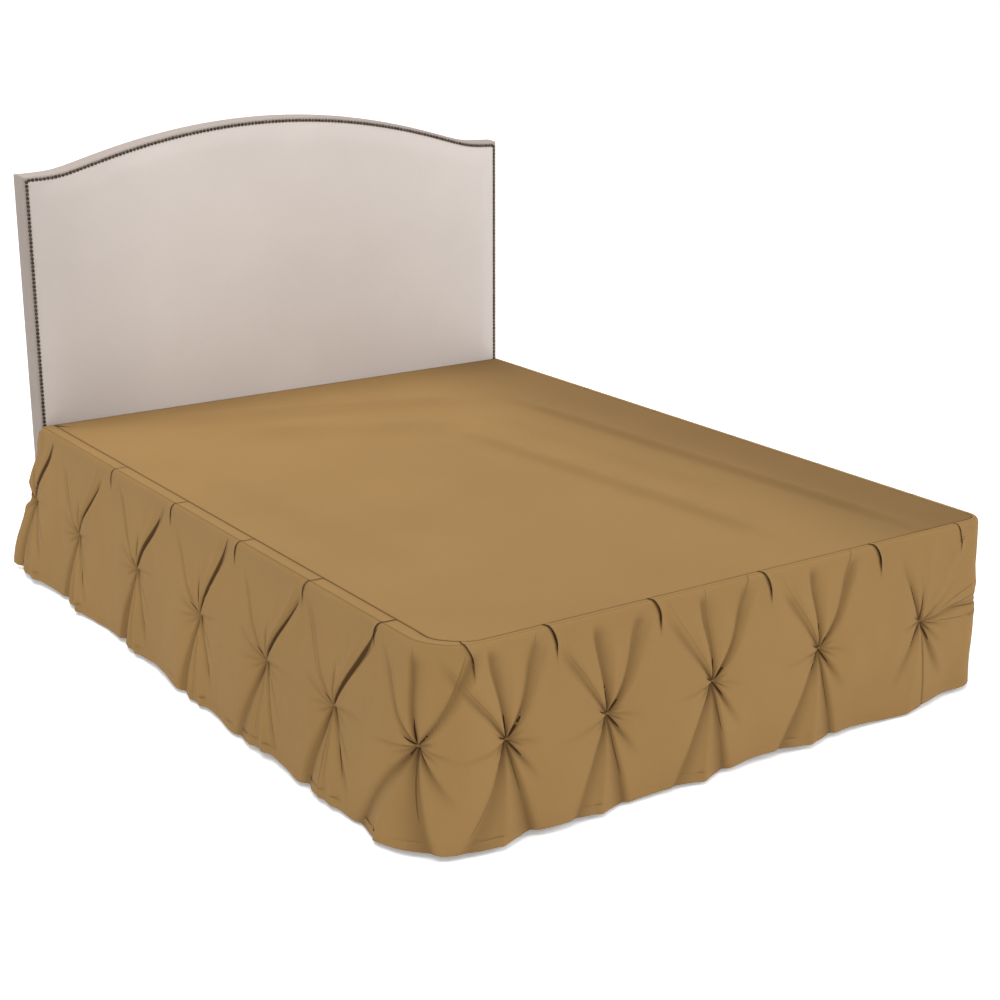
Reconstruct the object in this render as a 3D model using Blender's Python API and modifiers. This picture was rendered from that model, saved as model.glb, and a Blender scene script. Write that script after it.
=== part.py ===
# Pinch-pleated bed skirt on a queen bed base with an upholstered headboard.
#
# The skirt is a platform sheet that lies on the box spring and three drop panels sewn round its
# edge: one from the head to the second pinch of the left side, a long one round the left foot
# corner, and one round the right foot corner. Each drop panel runs a short way over the deck,
# turns down at the edge and hangs to just above the floor. Metres, +Z up, +Y towards the head.

import bpy
import bmesh
import math
import random
from mathutils import Vector

# ---- bed -------------------------------------------------------------------------------
BED_WIDTH = 1.520          # queen box spring
BED_LENGTH = 2.030
FOOT_Y = -1.040            # foot face of the box spring
HEAD_Y = FOOT_Y + BED_LENGTH
HALF = BED_WIDTH / 2
DECK_TOP = 0.428           # top of the cloth on the box spring
SPRING_BOTTOM = 0.195
SPRING_EDGE = 0.020        # round of its top and bottom edges
LEFT_CORNER = 0.110        # rounds of the cloth at the foot corners, seen from above
RIGHT_CORNER = 0.045
CORNER_STEPS = 40          # faces round a corner, for each metre of its radius
SPRING_CORNERS = (0.030, 0.125, 0.080, 0.030)   # its own rounds, from the left head corner
GAP = 0.0003               # between pieces that rest on or meet each other

# ---- cloth -----------------------------------------------------------------------------
CLOTH = 0.0012             # thickness of every cloth piece
MID_Z = DECK_TOP - CLOTH / 2
SIDE_GAP = 0.004           # base side to the middle of the cloth
BEND = 0.010               # how the cloth turns over the edge, to its middle
POLAR_TOP = 0.005          # the fans of folds start this far below the bend
DROP_TOP = MID_Z - BEND    # height where the cloth starts to hang
HEM_Z = 0.011              # hem above the floor
PINCH_STAND = 0.007        # cloth at a pinch, out from where it would hang flat
HEAD_CLEAR = 0.008         # cloth past the head end, out from the headboard's side
WELL_POWER = 2.2           # how sharply a pinch draws its cloth in
FOLD_PEAK = 0.30           # a fold is highest at this share of its length
LAP = 0.034                # how far the under panel runs behind the other at the hem
LAP_DROP = 0.0032          # how far its pinch lies behind
UNDER_JOIN = (-0.0030, 0.8)   # rise and kept of its fold on the line where the panels join
UNDER_EDGE = (-0.0130, 0.9)   # and at its own edge behind the other
PUFF_DEPTH = 0.42          # share of the drop at which the cloth has puffed out
FLARE_FROM = 0.30          # share of the drop where the hem's flare begins
FLARE_RUN = 0.75
PLEAT_FADE = (0.012, 0.035)   # folds fade out this close to the bend
ROUTE_BOW = 0.86           # folds to the pleats leave them steeply, below 1
HEM_WAVES = (
    # height, turns per metre, phase
    (0.0030, 1.45, 0.6),
    (0.0020, 3.66, 0.0),
)

# Along the edge of the bed, from the left head corner round the foot to the right head corner.
# pinch and height place each pinch; pleat is the pleat at the top after it.
PINCHES = (
    # pinch, height, pleat
    (-0.022, 0.205, 0.120),
    (0.264, 0.190, 0.500),
    (0.643, 0.208, 0.862),
    (1.005, 0.196, 1.208),
    (1.344, 0.194, 1.528),
    (1.647, 0.194, 1.826),
    (1.962, 0.212, 2.052),
    (2.142, 0.212, 2.246),
    (2.393, 0.206, 2.510),
    (2.679, 0.214, 2.812),
    (2.988, 0.222, 3.140),
    (3.289, 0.216, 3.412),
    (3.545, 0.214, 3.700),
    (3.870, 0.203, 4.036),
    (4.200, 0.210, 4.362),
    (4.525, 0.199, 4.690),
    (4.850, 0.207, 5.022),
    (5.185, 0.204, 5.372),
    (5.532, 0.208, None),
)
LEFT_JOIN = 1              # pinch where the left panel passes behind the front one
RIGHT_JOIN = 11            # pinch where the right panel passes behind the front one
END_SLANT = (0.004, -0.062, -0.112)   # free head edge at the top, pinch row and hem

SWAY = (0.006, 3.1)        # slow swing of the hem in and out: size, turns per metre

# How far the cloth stands out between two pinches, and at the hem, along the edge.
PUFF = (
    # along, out
    (-0.12, 0.024), (0.30, 0.031), (3.20, 0.030), (3.46, 0.016), (3.60, 0.018), (3.90, 0.031),
    (5.64, 0.024),
)
FLARE = (
    # along, out
    (-0.12, 0.072), (0.25, 0.058), (0.60, 0.052), (1.00, 0.064), (1.35, 0.072), (1.75, 0.070),
    (2.00, 0.058), (2.20, 0.036), (2.70, 0.026), (3.20, 0.021), (3.46, 0.012), (3.60, 0.014),
    (3.90, 0.044), (4.30, 0.060), (5.00, 0.056), (5.64, 0.068),
)
# Width of the drop panel that lies on top of the deck, along the edge.
BAND = (
    # along, width
    (-0.12, 0.027), (1.90, 0.027), (2.00, 0.018), (2.10, 0.004), (3.46, 0.004), (3.56, 0.010),
    (5.64, 0.010),
)

# Folds of one pinch. share runs along that edge of its cloth, from the left and from the top;
# rise is the height of the fold, kept is what is left of it at that edge.
TOP_FOLDS = (
    # share, rise, kept
    (0.00, 0.0080, 0.6), (0.06, -0.0170, 0.1), (0.28, 0.0010, 0.1), (0.50, -0.0080, 0.2),
    (0.66, 0.0040, 0.1), (0.86, -0.0160, 0.2), (1.00, 0.0080, 0.6),
)
SIDE_FOLDS = (
    # share, rise, kept
    (0.26, 0.0030, 0.0), (0.48, -0.0040, 0.0), (0.72, 0.0030, 0.0),
)
HEM_FOLDS = (
    # share, rise, kept
    (0.00, 0.0020, 0.0), (0.16, 0.0040, 0.3), (0.32, -0.0150, 0.1), (0.50, 0.0110, 0.5),
    (0.68, -0.0150, 0.1), (0.84, 0.0070, 1.0), (1.00, 0.0020, 0.0),
)
RINGS = (0.0, 0.075, 0.20, 0.42, 0.70, 1.0)   # shares of the way from a pinch to its edges
UNEVEN = 0.32              # how much the folds differ from pinch to pinch

# Soft creases of the platform: a line on the deck, its height and half width.
CREASES = (
    # x1, y1, x2, y2, rise, half_width
    (0.52, 0.42, 0.56, -0.86, 0.0035, 0.075),
    (0.12, 0.18, 0.20, -0.62, 0.0025, 0.080),
    (-0.42, 0.86, 0.34, 0.62, 0.0022, 0.110),
    (-0.58, 0.30, -0.52, -0.52, 0.0018, 0.090),
)
FLAT_BELOW = 0.0002        # the deck is level where the creases lift it less than this
DECK_CELLS = (11, 13)

# ---- frame, legs and headboard ---------------------------------------------------------
RAIL_HIGH = 0.055
RAIL_WIDE = 0.070
RAIL_INSET = 0.030
RAIL_TOP = SPRING_BOTTOM - GAP
RAIL_BOTTOM = RAIL_TOP - RAIL_HIGH
LEG_SIZE = 0.050
LEG_EDGE = 0.004
BOARD_WIDTH = 1.524
BOARD_THICK = 0.075
BOARD_FRONT = HEAD_Y + 0.006
BOARD_BOTTOM = 0.178
SHOULDER = 1.110           # height of the board at its sides
CROWN = 0.116              # how far its middle stands above them
CROWN_HALF = 0.655         # half width of the raised middle
CROWN_BLEND = 0.075
BOARD_EDGE = 0.012
BOARD_STEPS = 36           # straight pieces in its top edge
BOARD_LEG = (0.100, 0.036)
BOARD_LEG_X = 0.610
BRACKET = (0.080, 0.034)   # width and height

COLOURS = {
    "cloth": ((0.392, 0.252, 0.100, 1.0), 0.86, 0.0),
    "ticking": ((0.640, 0.600, 0.530, 1.0), 0.90, 0.0),
    "upholstery": ((0.560, 0.500, 0.455, 1.0), 0.88, 0.0),
    "wood": ((0.160, 0.088, 0.045, 1.0), 0.55, 0.0),
    "steel": ((0.045, 0.045, 0.048, 1.0), 0.45, 0.9),
}

LEFT_RUN = BED_LENGTH - LEFT_CORNER
LEFT_ARC = LEFT_CORNER * math.pi / 2
FOOT_RUN = BED_WIDTH - LEFT_CORNER - RIGHT_CORNER
RIGHT_ARC = RIGHT_CORNER * math.pi / 2
RIGHT_RUN = BED_LENGTH - RIGHT_CORNER
EDGE_RUN = LEFT_RUN + LEFT_ARC + FOOT_RUN + RIGHT_ARC + RIGHT_RUN


# ---- small helpers ---------------------------------------------------------------------
def ease(t):
    t = min(1.0, max(0.0, t))
    return t * t * (3 - 2 * t)


def lookup(table, at):
    """Value of a two-column table at a place, eased between its rows."""
    if at <= table[0][0]:
        return table[0][1]
    for (a, low), (b, high) in zip(table, table[1:]):
        if at <= b:
            return low + (high - low) * ease((at - a) / (b - a))
    return table[-1][1]


def edge_at(along):
    """Point and outward direction on the base's edge, seen from above."""
    rest = along - LEFT_RUN
    if rest <= 0:
        return Vector((-HALF, HEAD_Y - along)), Vector((-1, 0))
    if rest <= LEFT_ARC:
        turn = rest / LEFT_CORNER
        out = Vector((-math.cos(turn), -math.sin(turn)))
        return Vector((-HALF + LEFT_CORNER, FOOT_Y + LEFT_CORNER)) + out * LEFT_CORNER, out
    rest -= LEFT_ARC
    if rest <= FOOT_RUN:
        return Vector((-HALF + LEFT_CORNER + rest, FOOT_Y)), Vector((0, -1))
    rest -= FOOT_RUN
    if rest <= RIGHT_ARC:
        turn = rest / RIGHT_CORNER
        out = Vector((math.sin(turn), -math.cos(turn)))
        return Vector((HALF - RIGHT_CORNER, FOOT_Y + RIGHT_CORNER)) + out * RIGHT_CORNER, out
    rest -= RIGHT_ARC
    return Vector((HALF, FOOT_Y + RIGHT_CORNER + rest)), Vector((1, 0))


def hang_point(along, below, stand):
    """Place of the cloth: below is measured down from the bend, stand out from flat hanging."""
    point, out = edge_at(along)
    flat = point + out * (SIDE_GAP + stand)
    return Vector((flat.x, flat.y, DROP_TOP - below))


def band_point(along, share):
    """Place of the cloth above the fans: share 0 is the end of the bend, 1 the deck seam."""
    point, out = edge_at(along)
    if share < 1:
        turn = (1 - 2 * share) * math.pi / 2 if share < 0.5 else 0.0
        flat = point + out * (SIDE_GAP - BEND + BEND * math.sin(turn))
        return Vector((flat.x, flat.y, DROP_TOP + BEND * math.cos(turn)))
    flat = point + out * (SIDE_GAP - BEND - lookup(BAND, along))
    return Vector((flat.x, flat.y, MID_Z))


def hem_depth(along):
    wave = sum(high * math.sin(along * turns * 2 * math.pi + phase) for high, turns, phase in HEM_WAVES)
    return DROP_TOP - HEM_Z - wave


def free_stand(along, below):
    """How far the cloth stands out where no pinch or fold acts."""
    deep = below / hem_depth(along)
    puff = lookup(PUFF, along)
    flare = lookup(FLARE, along) + SWAY[0] * math.sin(along * SWAY[1] * 2 * math.pi + 1.0)
    return puff * ease(deep / PUFF_DEPTH) + (flare - puff * 0.7) * ease((deep - FLARE_FROM) / FLARE_RUN)


# ---- one pinch and its fan of folds ----------------------------------------------------
class Pinch:
    """The cloth round one pinch, from the pleat before it to the pleat after it."""

    def __init__(self, index):
        self.along, height, _ = PINCHES[index]
        self.below = DROP_TOP - height
        self.first = index == 0
        self.last = index == len(PINCHES) - 1
        self.left_top = None if self.first else PINCHES[index - 1][2]
        self.right_top = PINCHES[index][2]
        self.left_hem = None if self.first else self.between(index - 1)
        self.right_hem = None if self.last else self.between(index)
        self.random = random.Random(400 + index)
        self.spokes = self.list_spokes()

    @staticmethod
    def between(index):
        return (PINCHES[index][0] + PINCHES[index + 1][0]) / 2

    def side(self, share, right):
        """Along and below of a place on the left or right limit, share 0 at its top."""
        if (self.first and not right) or (self.last and right):
            top, row, hem = END_SLANT
            place = top + (row - top) * share * 2
            if share > 0.5:
                place = row + (hem - row) * (share * 2 - 1)
            along = EDGE_RUN - place if right else place
        else:
            top = self.right_top if right else self.left_top
            hem = self.right_hem if right else self.left_hem
            along = top + (hem - top) * ease(share * 1.1)
        return along, POLAR_TOP + (hem_depth(along) - POLAR_TOP) * share

    def row(self, share, bottom):
        left = self.side(1.0 if bottom else 0.0, False)[0]
        right = self.side(1.0 if bottom else 0.0, True)[0]
        middle = self.along if bottom or left < self.along < right else (left + right) / 2
        if share < 0.5:
            along = left + (middle - left) * share * 2
        else:
            along = middle + (right - middle) * (share * 2 - 1)
        return along, hem_depth(along) if bottom else POLAR_TOP

    def vary(self, rise):
        return rise * (1 + UNEVEN * self.random.uniform(-1, 1))

    def list_spokes(self):
        """Folds clockwise from the top middle: where each ends, its rise and what is kept."""
        half = len(TOP_FOLDS) // 2
        top = [(self.row(share, False), rise if share in (0, 1) else self.vary(rise), kept)
               for share, rise, kept in TOP_FOLDS]
        hem = [(self.row(share, True), self.vary(rise), kept) for share, rise, kept in HEM_FOLDS]
        left = [(self.side(share, False), self.vary(rise), kept) for share, rise, kept in SIDE_FOLDS]
        right = [(self.side(share, True), self.vary(rise), kept) for share, rise, kept in SIDE_FOLDS]
        self.down = len(top) - 1 - half + len(right) + 1 + half
        return top[half:] + right + hem[::-1] + left[::-1] + top[:half]

    def place(self, spoke, share, drop=0.0):
        """Point of the cloth at a share of the way along one spoke."""
        (along_end, below_end), rise, kept = spoke
        above = below_end < self.below
        along = self.along + (along_end - self.along) * (share ** ROUTE_BOW if above else share)
        below = self.below + (below_end - self.below) * share
        well = (1 - share) ** WELL_POWER
        swell = share / FOLD_PEAK * math.exp(1 - share / FOLD_PEAK)
        fold = swell * (1 - share ** 3) + kept * share ** 3
        lift = free_stand(along, below) * (1 - well) + PINCH_STAND * well
        past_head = max(-along, along - EDGE_RUN)
        head_clear = HEAD_CLEAR * ease((past_head + HEAD_CLEAR * 3) / (HEAD_CLEAR * 3))
        if above:
            fold *= ease((below + PLEAT_FADE[0]) / PLEAT_FADE[1])
        stand = lift + rise * fold - drop * (1 - share)
        return hang_point(along, below, max(stand, head_clear, 0.0))


def fan(bm, pinch, spokes, drop=0.0, shift=0.0):
    """A fan of cloth through the given spokes, from the pinch to its edges."""
    made = bmesh.ops.create_grid(bm, x_segments=len(RINGS) - 1, y_segments=len(spokes) - 1, size=0.5)
    for vert in made["verts"]:
        ring = round((vert.co.x + 0.5) * (len(RINGS) - 1))
        spoke = spokes[round((vert.co.y + 0.5) * (len(spokes) - 1))]
        vert.co = pinch.place(spoke, RINGS[ring], drop)
        if shift and ring == 0:
            vert.co += Vector((-edge_at(pinch.along)[1].y, edge_at(pinch.along)[1].x, 0)) * shift


def band(bm, pinch, spokes):
    """The cloth above a fan: over the bend and on to the deck, one column for each top fold."""
    steps = (None, 0.0, 0.25, 0.5, 1.0)
    made = bmesh.ops.create_grid(bm, x_segments=len(steps) - 1, y_segments=len(spokes) - 1, size=0.5)
    for vert in made["verts"]:
        step = steps[round((vert.co.x + 0.5) * (len(steps) - 1))]
        spoke = spokes[round((vert.co.y + 0.5) * (len(spokes) - 1))]
        vert.co = pinch.place(spoke, 1.0) if step is None else band_point(spoke[0][0], step)


def nudged(spoke, by):
    """The same spoke with its end moved along the edge."""
    (along, below), rise, kept = spoke
    return (along + by, below), rise, kept


def panel_mesh(first, last):
    """Sheet of a drop panel, from one pinch to another; half fans where panels join."""
    bm = bmesh.new()
    half = len(TOP_FOLDS) // 2
    for index in range(first, last + 1):
        pinch = Pinch(index)
        up, down = pinch.spokes[0], pinch.spokes[pinch.down]
        top_right, top_left = pinch.spokes[:half + 1], pinch.spokes[-half:] + [up]
        if index not in (LEFT_JOIN, RIGHT_JOIN):
            fan(bm, pinch, pinch.spokes + [up])
            band(bm, pinch, top_left + top_right[1:])
            continue
        starts = index == first
        under = starts if index == RIGHT_JOIN else not starts
        side = 1 if starts else -1
        seam_top = nudged(up, GAP * side)
        around = pinch.spokes[1:pinch.down] if starts else pinch.spokes[:pinch.down:-1]
        foot = [down]
        if under:
            (along, below), _, _ = down
            foot = [((along, below), *UNDER_JOIN), ((along - LAP * side, below), *UNDER_EDGE)]
        fan(bm, pinch, [seam_top] + around + foot, LAP_DROP if under else 0.0, GAP * side)
        band(bm, pinch, [seam_top] + top_right[1:] if starts else top_left[:-1] + [seam_top])
    return bm


def seam_outline():
    """The deck's edge: the top ends of the drop panels, moved in by the seam's gap."""
    points = []
    for index in range(len(PINCHES)):
        pinch = Pinch(index)
        half = len(TOP_FOLDS) // 2
        for spoke in pinch.spokes[-half:] + pinch.spokes[:half + 1]:
            along = spoke[0][0]
            inward = band_point(along, 1.0).to_2d() - edge_at(along)[1] * 2 * GAP
            if not points or (inward - points[-1]).length > 1e-5:
                points.append(inward)
    return points


# ---- making objects --------------------------------------------------------------------
def clear_scene():
    for old in list(bpy.data.objects):
        bpy.data.objects.remove(old, do_unlink=True)


def material(name):
    made = bpy.data.materials.get(name)
    if made is None:
        colour, rough, metal = COLOURS[name]
        made = bpy.data.materials.new(name)
        made.use_nodes = True
        shader = made.node_tree.nodes["Principled BSDF"]
        shader.inputs["Base Color"].default_value = colour
        shader.inputs["Roughness"].default_value = rough
        shader.inputs["Metallic"].default_value = metal
        made.diffuse_color = colour
    return made


def to_object(bm, name, finish, smooth=False):
    mesh = bpy.data.meshes.new(name)
    bm.to_mesh(mesh)
    bm.free()
    made = bpy.data.objects.new(name, mesh)
    SKIRT.objects.link(made)
    mesh.materials.append(material(finish))
    if smooth:
        mesh.shade_smooth()
    return made


def thicken(bm, name):
    """A cloth sheet as an object: its faces are split first so both sides fold alike."""
    bmesh.ops.remove_doubles(bm, verts=bm.verts, dist=1e-5)
    bmesh.ops.recalc_face_normals(bm, faces=bm.faces)
    bmesh.ops.triangulate(bm, faces=bm.faces)
    made = to_object(bm, name, "cloth", smooth=True)
    solid = made.modifiers.new("thickness", "SOLIDIFY")
    solid.thickness = CLOTH
    solid.offset = 0.0
    return made


def crease_height(x, y):
    total = 0.0
    for x1, y1, x2, y2, rise, half_width in CREASES:
        line = Vector((x2 - x1, y2 - y1))
        to = Vector((x - x1, y - y1))
        share = to.dot(line) / line.length_squared
        aside = (to - line * share).length / half_width
        ends = ease(share * 4 + 0.5) * ease((1 - share) * 4 + 0.5)
        total += rise * math.exp(-aside * aside) * ends
    return total if total > FLAT_BELOW else 0.0


def make_deck():
    """Platform sheet: its outline is the seam line, its inside is lifted by soft creases."""
    bm = bmesh.new()
    outline = seam_outline()
    verts = [bm.verts.new((p.x, p.y, MID_Z)) for p in outline]
    bm.faces.new(verts)
    cuts = ((0, DECK_CELLS[0], -HALF, HALF), (1, DECK_CELLS[1], FOOT_Y, HEAD_Y))
    for axis, cells, low, high in cuts:
        for step in range(1, cells):
            point = Vector((0, 0, 0))
            point[axis] = low + (high - low) * step / cells
            normal = Vector((0, 0, 0))
            normal[axis] = 1
            bmesh.ops.bisect_plane(bm, geom=bm.verts[:] + bm.edges[:] + bm.faces[:], dist=1e-5,
                                   plane_co=point, plane_no=normal)
    for vert in bm.verts:
        if not vert.is_boundary:
            vert.co.z += crease_height(vert.co.x, vert.co.y)
    return thicken(bm, "deck")


def add_box(name, low, high, finish, edge=0.0):
    bm = bmesh.new()
    bmesh.ops.create_cube(bm, size=1.0)
    low, high = Vector(low), Vector(high)
    for vert in bm.verts:
        for axis in range(3):
            vert.co[axis] = low[axis] if vert.co[axis] < 0 else high[axis]
    made = to_object(bm, name, finish)
    if edge:
        bevel = made.modifiers.new("edges", "BEVEL")
        bevel.width = edge
        bevel.segments = 1
    return made


def make_box_spring():
    bm = bmesh.new()
    top = DECK_TOP - CLOTH - GAP
    verts = []
    for corner, radius in enumerate(SPRING_CORNERS):
        side = -1 if corner < 2 else 1
        centre_x = side * (HALF - radius)
        centre_y = FOOT_Y + radius if corner in (1, 2) else HEAD_Y - radius
        steps = 3 + round(radius * CORNER_STEPS)
        for step in range(steps + 1):
            turn = math.radians(90 * (corner + 1 + step / steps))
            verts.append(bm.verts.new((centre_x + radius * math.cos(turn),
                                       centre_y + radius * math.sin(turn), SPRING_BOTTOM)))
    floor = bm.faces.new(verts)
    raised = bmesh.ops.extrude_face_region(bm, geom=[floor])
    lifted = [g for g in raised["geom"] if isinstance(g, bmesh.types.BMVert)]
    bmesh.ops.translate(bm, verts=lifted, vec=(0, 0, top - SPRING_BOTTOM))
    rims = [e for e in bm.edges if abs(e.verts[0].co.z - e.verts[1].co.z) < 1e-6]
    bmesh.ops.bevel(bm, geom=rims, offset=SPRING_EDGE, segments=2, profile=0.5, affect="EDGES",
                    clamp_overlap=True)
    bmesh.ops.recalc_face_normals(bm, faces=bm.faces)
    return to_object(bm, "box_spring", "ticking")


def board_top(x):
    """Height of the headboard's top edge: a raised arc that eases into level shoulders."""
    arc = CROWN * (1 - (x / CROWN_HALF) ** 2)
    blend = CROWN_BLEND * CROWN * 2
    return SHOULDER + (arc + math.sqrt(arc * arc + blend * blend)) / 2


def make_headboard():
    bm = bmesh.new()
    half = BOARD_WIDTH / 2
    outline = [(-half, BOARD_BOTTOM), (half, BOARD_BOTTOM)]
    for step in range(BOARD_STEPS + 1):
        x = half - BOARD_WIDTH * step / BOARD_STEPS
        outline.append((x, board_top(x)))
    verts = [bm.verts.new((x, BOARD_FRONT, z)) for x, z in outline]
    face = bm.faces.new(verts)
    pushed = bmesh.ops.extrude_face_region(bm, geom=[face])
    moved = [g for g in pushed["geom"] if isinstance(g, bmesh.types.BMVert)]
    bmesh.ops.translate(bm, verts=moved, vec=(0, BOARD_THICK, 0))
    rims = [e for e in bm.edges if abs(e.verts[0].co.y - e.verts[1].co.y) < 1e-6]
    bmesh.ops.bevel(bm, geom=rims, offset=BOARD_EDGE, segments=2, profile=0.5, affect="EDGES",
                    clamp_overlap=True)
    bmesh.ops.recalc_face_normals(bm, faces=bm.faces)
    return to_object(bm, "headboard", "upholstery")


def make_frame():
    """Rails under the box spring, legs under the rails and legs under the headboard."""
    side = HALF - RAIL_INSET
    foot, head = FOOT_Y + RAIL_INSET, HEAD_Y - RAIL_INSET
    foot_side = foot + LEFT_CORNER - RAIL_INSET
    for name, x in (("rail_left", -side), ("rail_right", side - RAIL_WIDE)):
        add_box(name, (x, foot_side, RAIL_BOTTOM), (x + RAIL_WIDE, head, RAIL_TOP), "wood", LEG_EDGE)
    reach = side - RAIL_WIDE - GAP
    for name, y in (("rail_foot", foot_side), ("rail_head", head - RAIL_WIDE)):
        add_box(name, (-reach, y, RAIL_BOTTOM), (reach, y + RAIL_WIDE, RAIL_TOP), "wood", LEG_EDGE)
    middle = (foot_side + RAIL_WIDE + GAP, head - RAIL_WIDE - GAP)
    add_box("rail_centre", (-RAIL_WIDE / 2, middle[0], RAIL_BOTTOM),
            (RAIL_WIDE / 2, middle[1], RAIL_TOP), "wood", LEG_EDGE)
    near = foot_side + RAIL_WIDE / 2
    far = head - RAIL_WIDE / 2
    legs = {
        "leg_foot_left": (-side + RAIL_WIDE / 2, near),
        "leg_foot_right": (side - RAIL_WIDE / 2, near),
        "leg_head_left": (-side + RAIL_WIDE / 2, far),
        "leg_head_right": (side - RAIL_WIDE / 2, far),
        "leg_centre": (0.0, (near + far) / 2),
    }
    for name, (x, y) in legs.items():
        half = LEG_SIZE / 2
        add_box(name, (x - half, y - half, 0.0), (x + half, y + half, RAIL_BOTTOM - GAP),
                "wood", LEG_EDGE)
    leg_front = BOARD_FRONT + (BOARD_THICK - BOARD_LEG[1]) / 2
    for name, sign in (("left", -1), ("right", 1)):
        x = sign * BOARD_LEG_X
        half = BOARD_LEG[0] / 2
        add_box("headboard_leg_" + name, (x - half, leg_front, 0.0),
                (x + half, leg_front + BOARD_LEG[1], BOARD_BOTTOM - GAP), "wood", LEG_EDGE)
        half = BRACKET[0] / 2
        add_box("bracket_" + name, (x - half, head + GAP, RAIL_BOTTOM),
                (x + half, leg_front - GAP, RAIL_BOTTOM + BRACKET[1]), "steel", 0.002)


clear_scene()
SKIRT = bpy.data.collections.new("bed_skirt")
bpy.context.scene.collection.children.link(SKIRT)
make_deck()
thicken(panel_mesh(0, LEFT_JOIN), "drop_left")
thicken(panel_mesh(LEFT_JOIN, RIGHT_JOIN), "drop_front")
thicken(panel_mesh(RIGHT_JOIN, len(PINCHES) - 1), "drop_right")
make_box_spring()
make_frame()
make_headboard()
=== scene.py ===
# Looks of the pinch-pleated bed skirt: cloth, headboard cover, nail heads, finishes, light and camera.
# Metres, +Z up, +Y towards the head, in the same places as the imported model.
import bpy
import bmesh
import math
import random
import numpy as np
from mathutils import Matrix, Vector, kdtree


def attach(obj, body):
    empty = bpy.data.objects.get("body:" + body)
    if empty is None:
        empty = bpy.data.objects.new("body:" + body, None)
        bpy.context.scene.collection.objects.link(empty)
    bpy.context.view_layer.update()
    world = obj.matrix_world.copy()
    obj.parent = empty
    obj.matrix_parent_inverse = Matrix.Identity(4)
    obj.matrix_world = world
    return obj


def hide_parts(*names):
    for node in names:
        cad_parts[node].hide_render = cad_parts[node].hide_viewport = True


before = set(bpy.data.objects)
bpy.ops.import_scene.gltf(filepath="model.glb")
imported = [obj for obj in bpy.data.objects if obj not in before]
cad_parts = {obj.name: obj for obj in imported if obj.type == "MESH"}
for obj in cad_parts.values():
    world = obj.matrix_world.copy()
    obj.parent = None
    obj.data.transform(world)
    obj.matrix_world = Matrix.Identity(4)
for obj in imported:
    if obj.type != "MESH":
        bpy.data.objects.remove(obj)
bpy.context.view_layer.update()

# The bed under the cloth. "along" runs round its edge, from the left head corner by the foot to the
# right head corner.
bed = {
    "half": 0.760,
    "footY": -1.040,
    "headY": 0.990,
    "leftCorner": 0.110,
    "rightCorner": 0.045,
    "clothZ": 0.4274,      # middle of the cloth on the deck
    "sideGap": 0.004,
    "bend": 0.010,         # the cloth turns down over the edge with this radius
    "hemZ": 0.011,
}
dropTop = bed["clothZ"] - bed["bend"]
bendRun = bed["bend"] * math.pi / 2
leftRun = bed["headY"] - bed["footY"] - bed["leftCorner"]
footStart = leftRun + bed["leftCorner"] * math.pi / 2
footEnd = footStart + 2 * bed["half"] - bed["leftCorner"] - bed["rightCorner"]
rightStart = footEnd + bed["rightCorner"] * math.pi / 2
edgeRun = rightStart + bed["headY"] - bed["footY"] - bed["rightCorner"]

# Where the cloth is pinched, how high, and the pleat sewn into its top after each pinch.
pinches = (
    # along, height, pleat
    (-0.026, 0.211, None), (0.288, 0.195, 0.500), (0.670, 0.210, 0.862), (1.033, 0.200, 1.208),
    (1.372, 0.198, 1.528), (1.674, 0.199, 1.826), (1.966, 0.216, 2.052), (2.138, 0.214, 2.246),
    (2.388, 0.207, 2.510), (2.670, 0.213, 2.812), (2.976, 0.219, 3.140), (3.296, 0.215, 3.412),
    (3.545, 0.214, 3.700), (3.870, 0.203, 4.036), (4.200, 0.210, 4.362), (4.525, 0.199, 4.690),
    (4.850, 0.207, 5.022), (5.185, 0.204, 5.372), (5.532, 0.208, None),
)

# How the drops hang, as tables along the edge and plain values.
hang = {
    "puff": ((-0.12, 0.014), (0.30, 0.014), (1.70, 0.015), (2.05, 0.026), (3.20, 0.027), (3.44, 0.006),
             (3.62, 0.005), (3.90, 0.014), (5.64, 0.014)),
    "flare": ((-0.12, 0.072), (0.25, 0.058), (0.60, 0.052), (1.00, 0.064), (1.35, 0.070), (1.75, 0.068),
              (2.00, 0.058), (2.20, 0.036), (2.70, 0.026), (3.20, 0.021), (3.46, 0.006), (3.60, 0.006),
              (3.90, 0.044), (4.30, 0.060), (5.00, 0.056), (5.64, 0.068)),
    "band": ((-0.12, 0.027), (1.90, 0.027), (2.00, 0.018), (2.10, 0.005), (3.46, 0.004), (3.56, 0.010),
             (5.64, 0.010)),
    "pinchStand": ((-0.12, 0.018), (0.30, 0.022), (1.70, 0.024), (1.96, 0.020), (2.10, 0.011),
                   (3.30, 0.009), (3.46, 0.003), (3.62, 0.003), (3.90, 0.018), (5.64, 0.024)),
    "puffDepth": 0.42,       # share of the drop at which the cloth has puffed out
    "flareFrom": ((-0.12, 0.06), (1.80, 0.06), (2.05, 0.28), (3.60, 0.28), (3.90, 0.06), (5.64, 0.06)),
    "flareRun": ((-0.12, 1.05), (1.80, 1.05), (2.05, 0.76), (3.60, 0.76), (3.90, 1.05), (5.64, 1.05)),
    "sway": (0.006, 3.1),    # slow swing of the hem: size, turns per metre
    "hemWaves": ((0.0030, 1.45, 0.6), (0.0020, 3.66, 0.0)),
    "well": (150, 200, 2.6),  # reach of a pinch's dimple to the side and up, in mm, and how steep it is
    # the two free ends at the head hang slanting, by the share of slantDrop below the edge
    "endSlant": ((0, 0), (0.12, -0.022), (0.40, -0.060), (0.50, -0.052), (0.58, -0.080), (1, -0.118)),
    "slantDrop": 0.406,
    "slantRun": 0.14,
    "headClear": 0.008,      # they stay this far off the bed there
    "touch": 0.0004,         # and everywhere else at least this far
    "soften": 0.0012,
}

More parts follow.
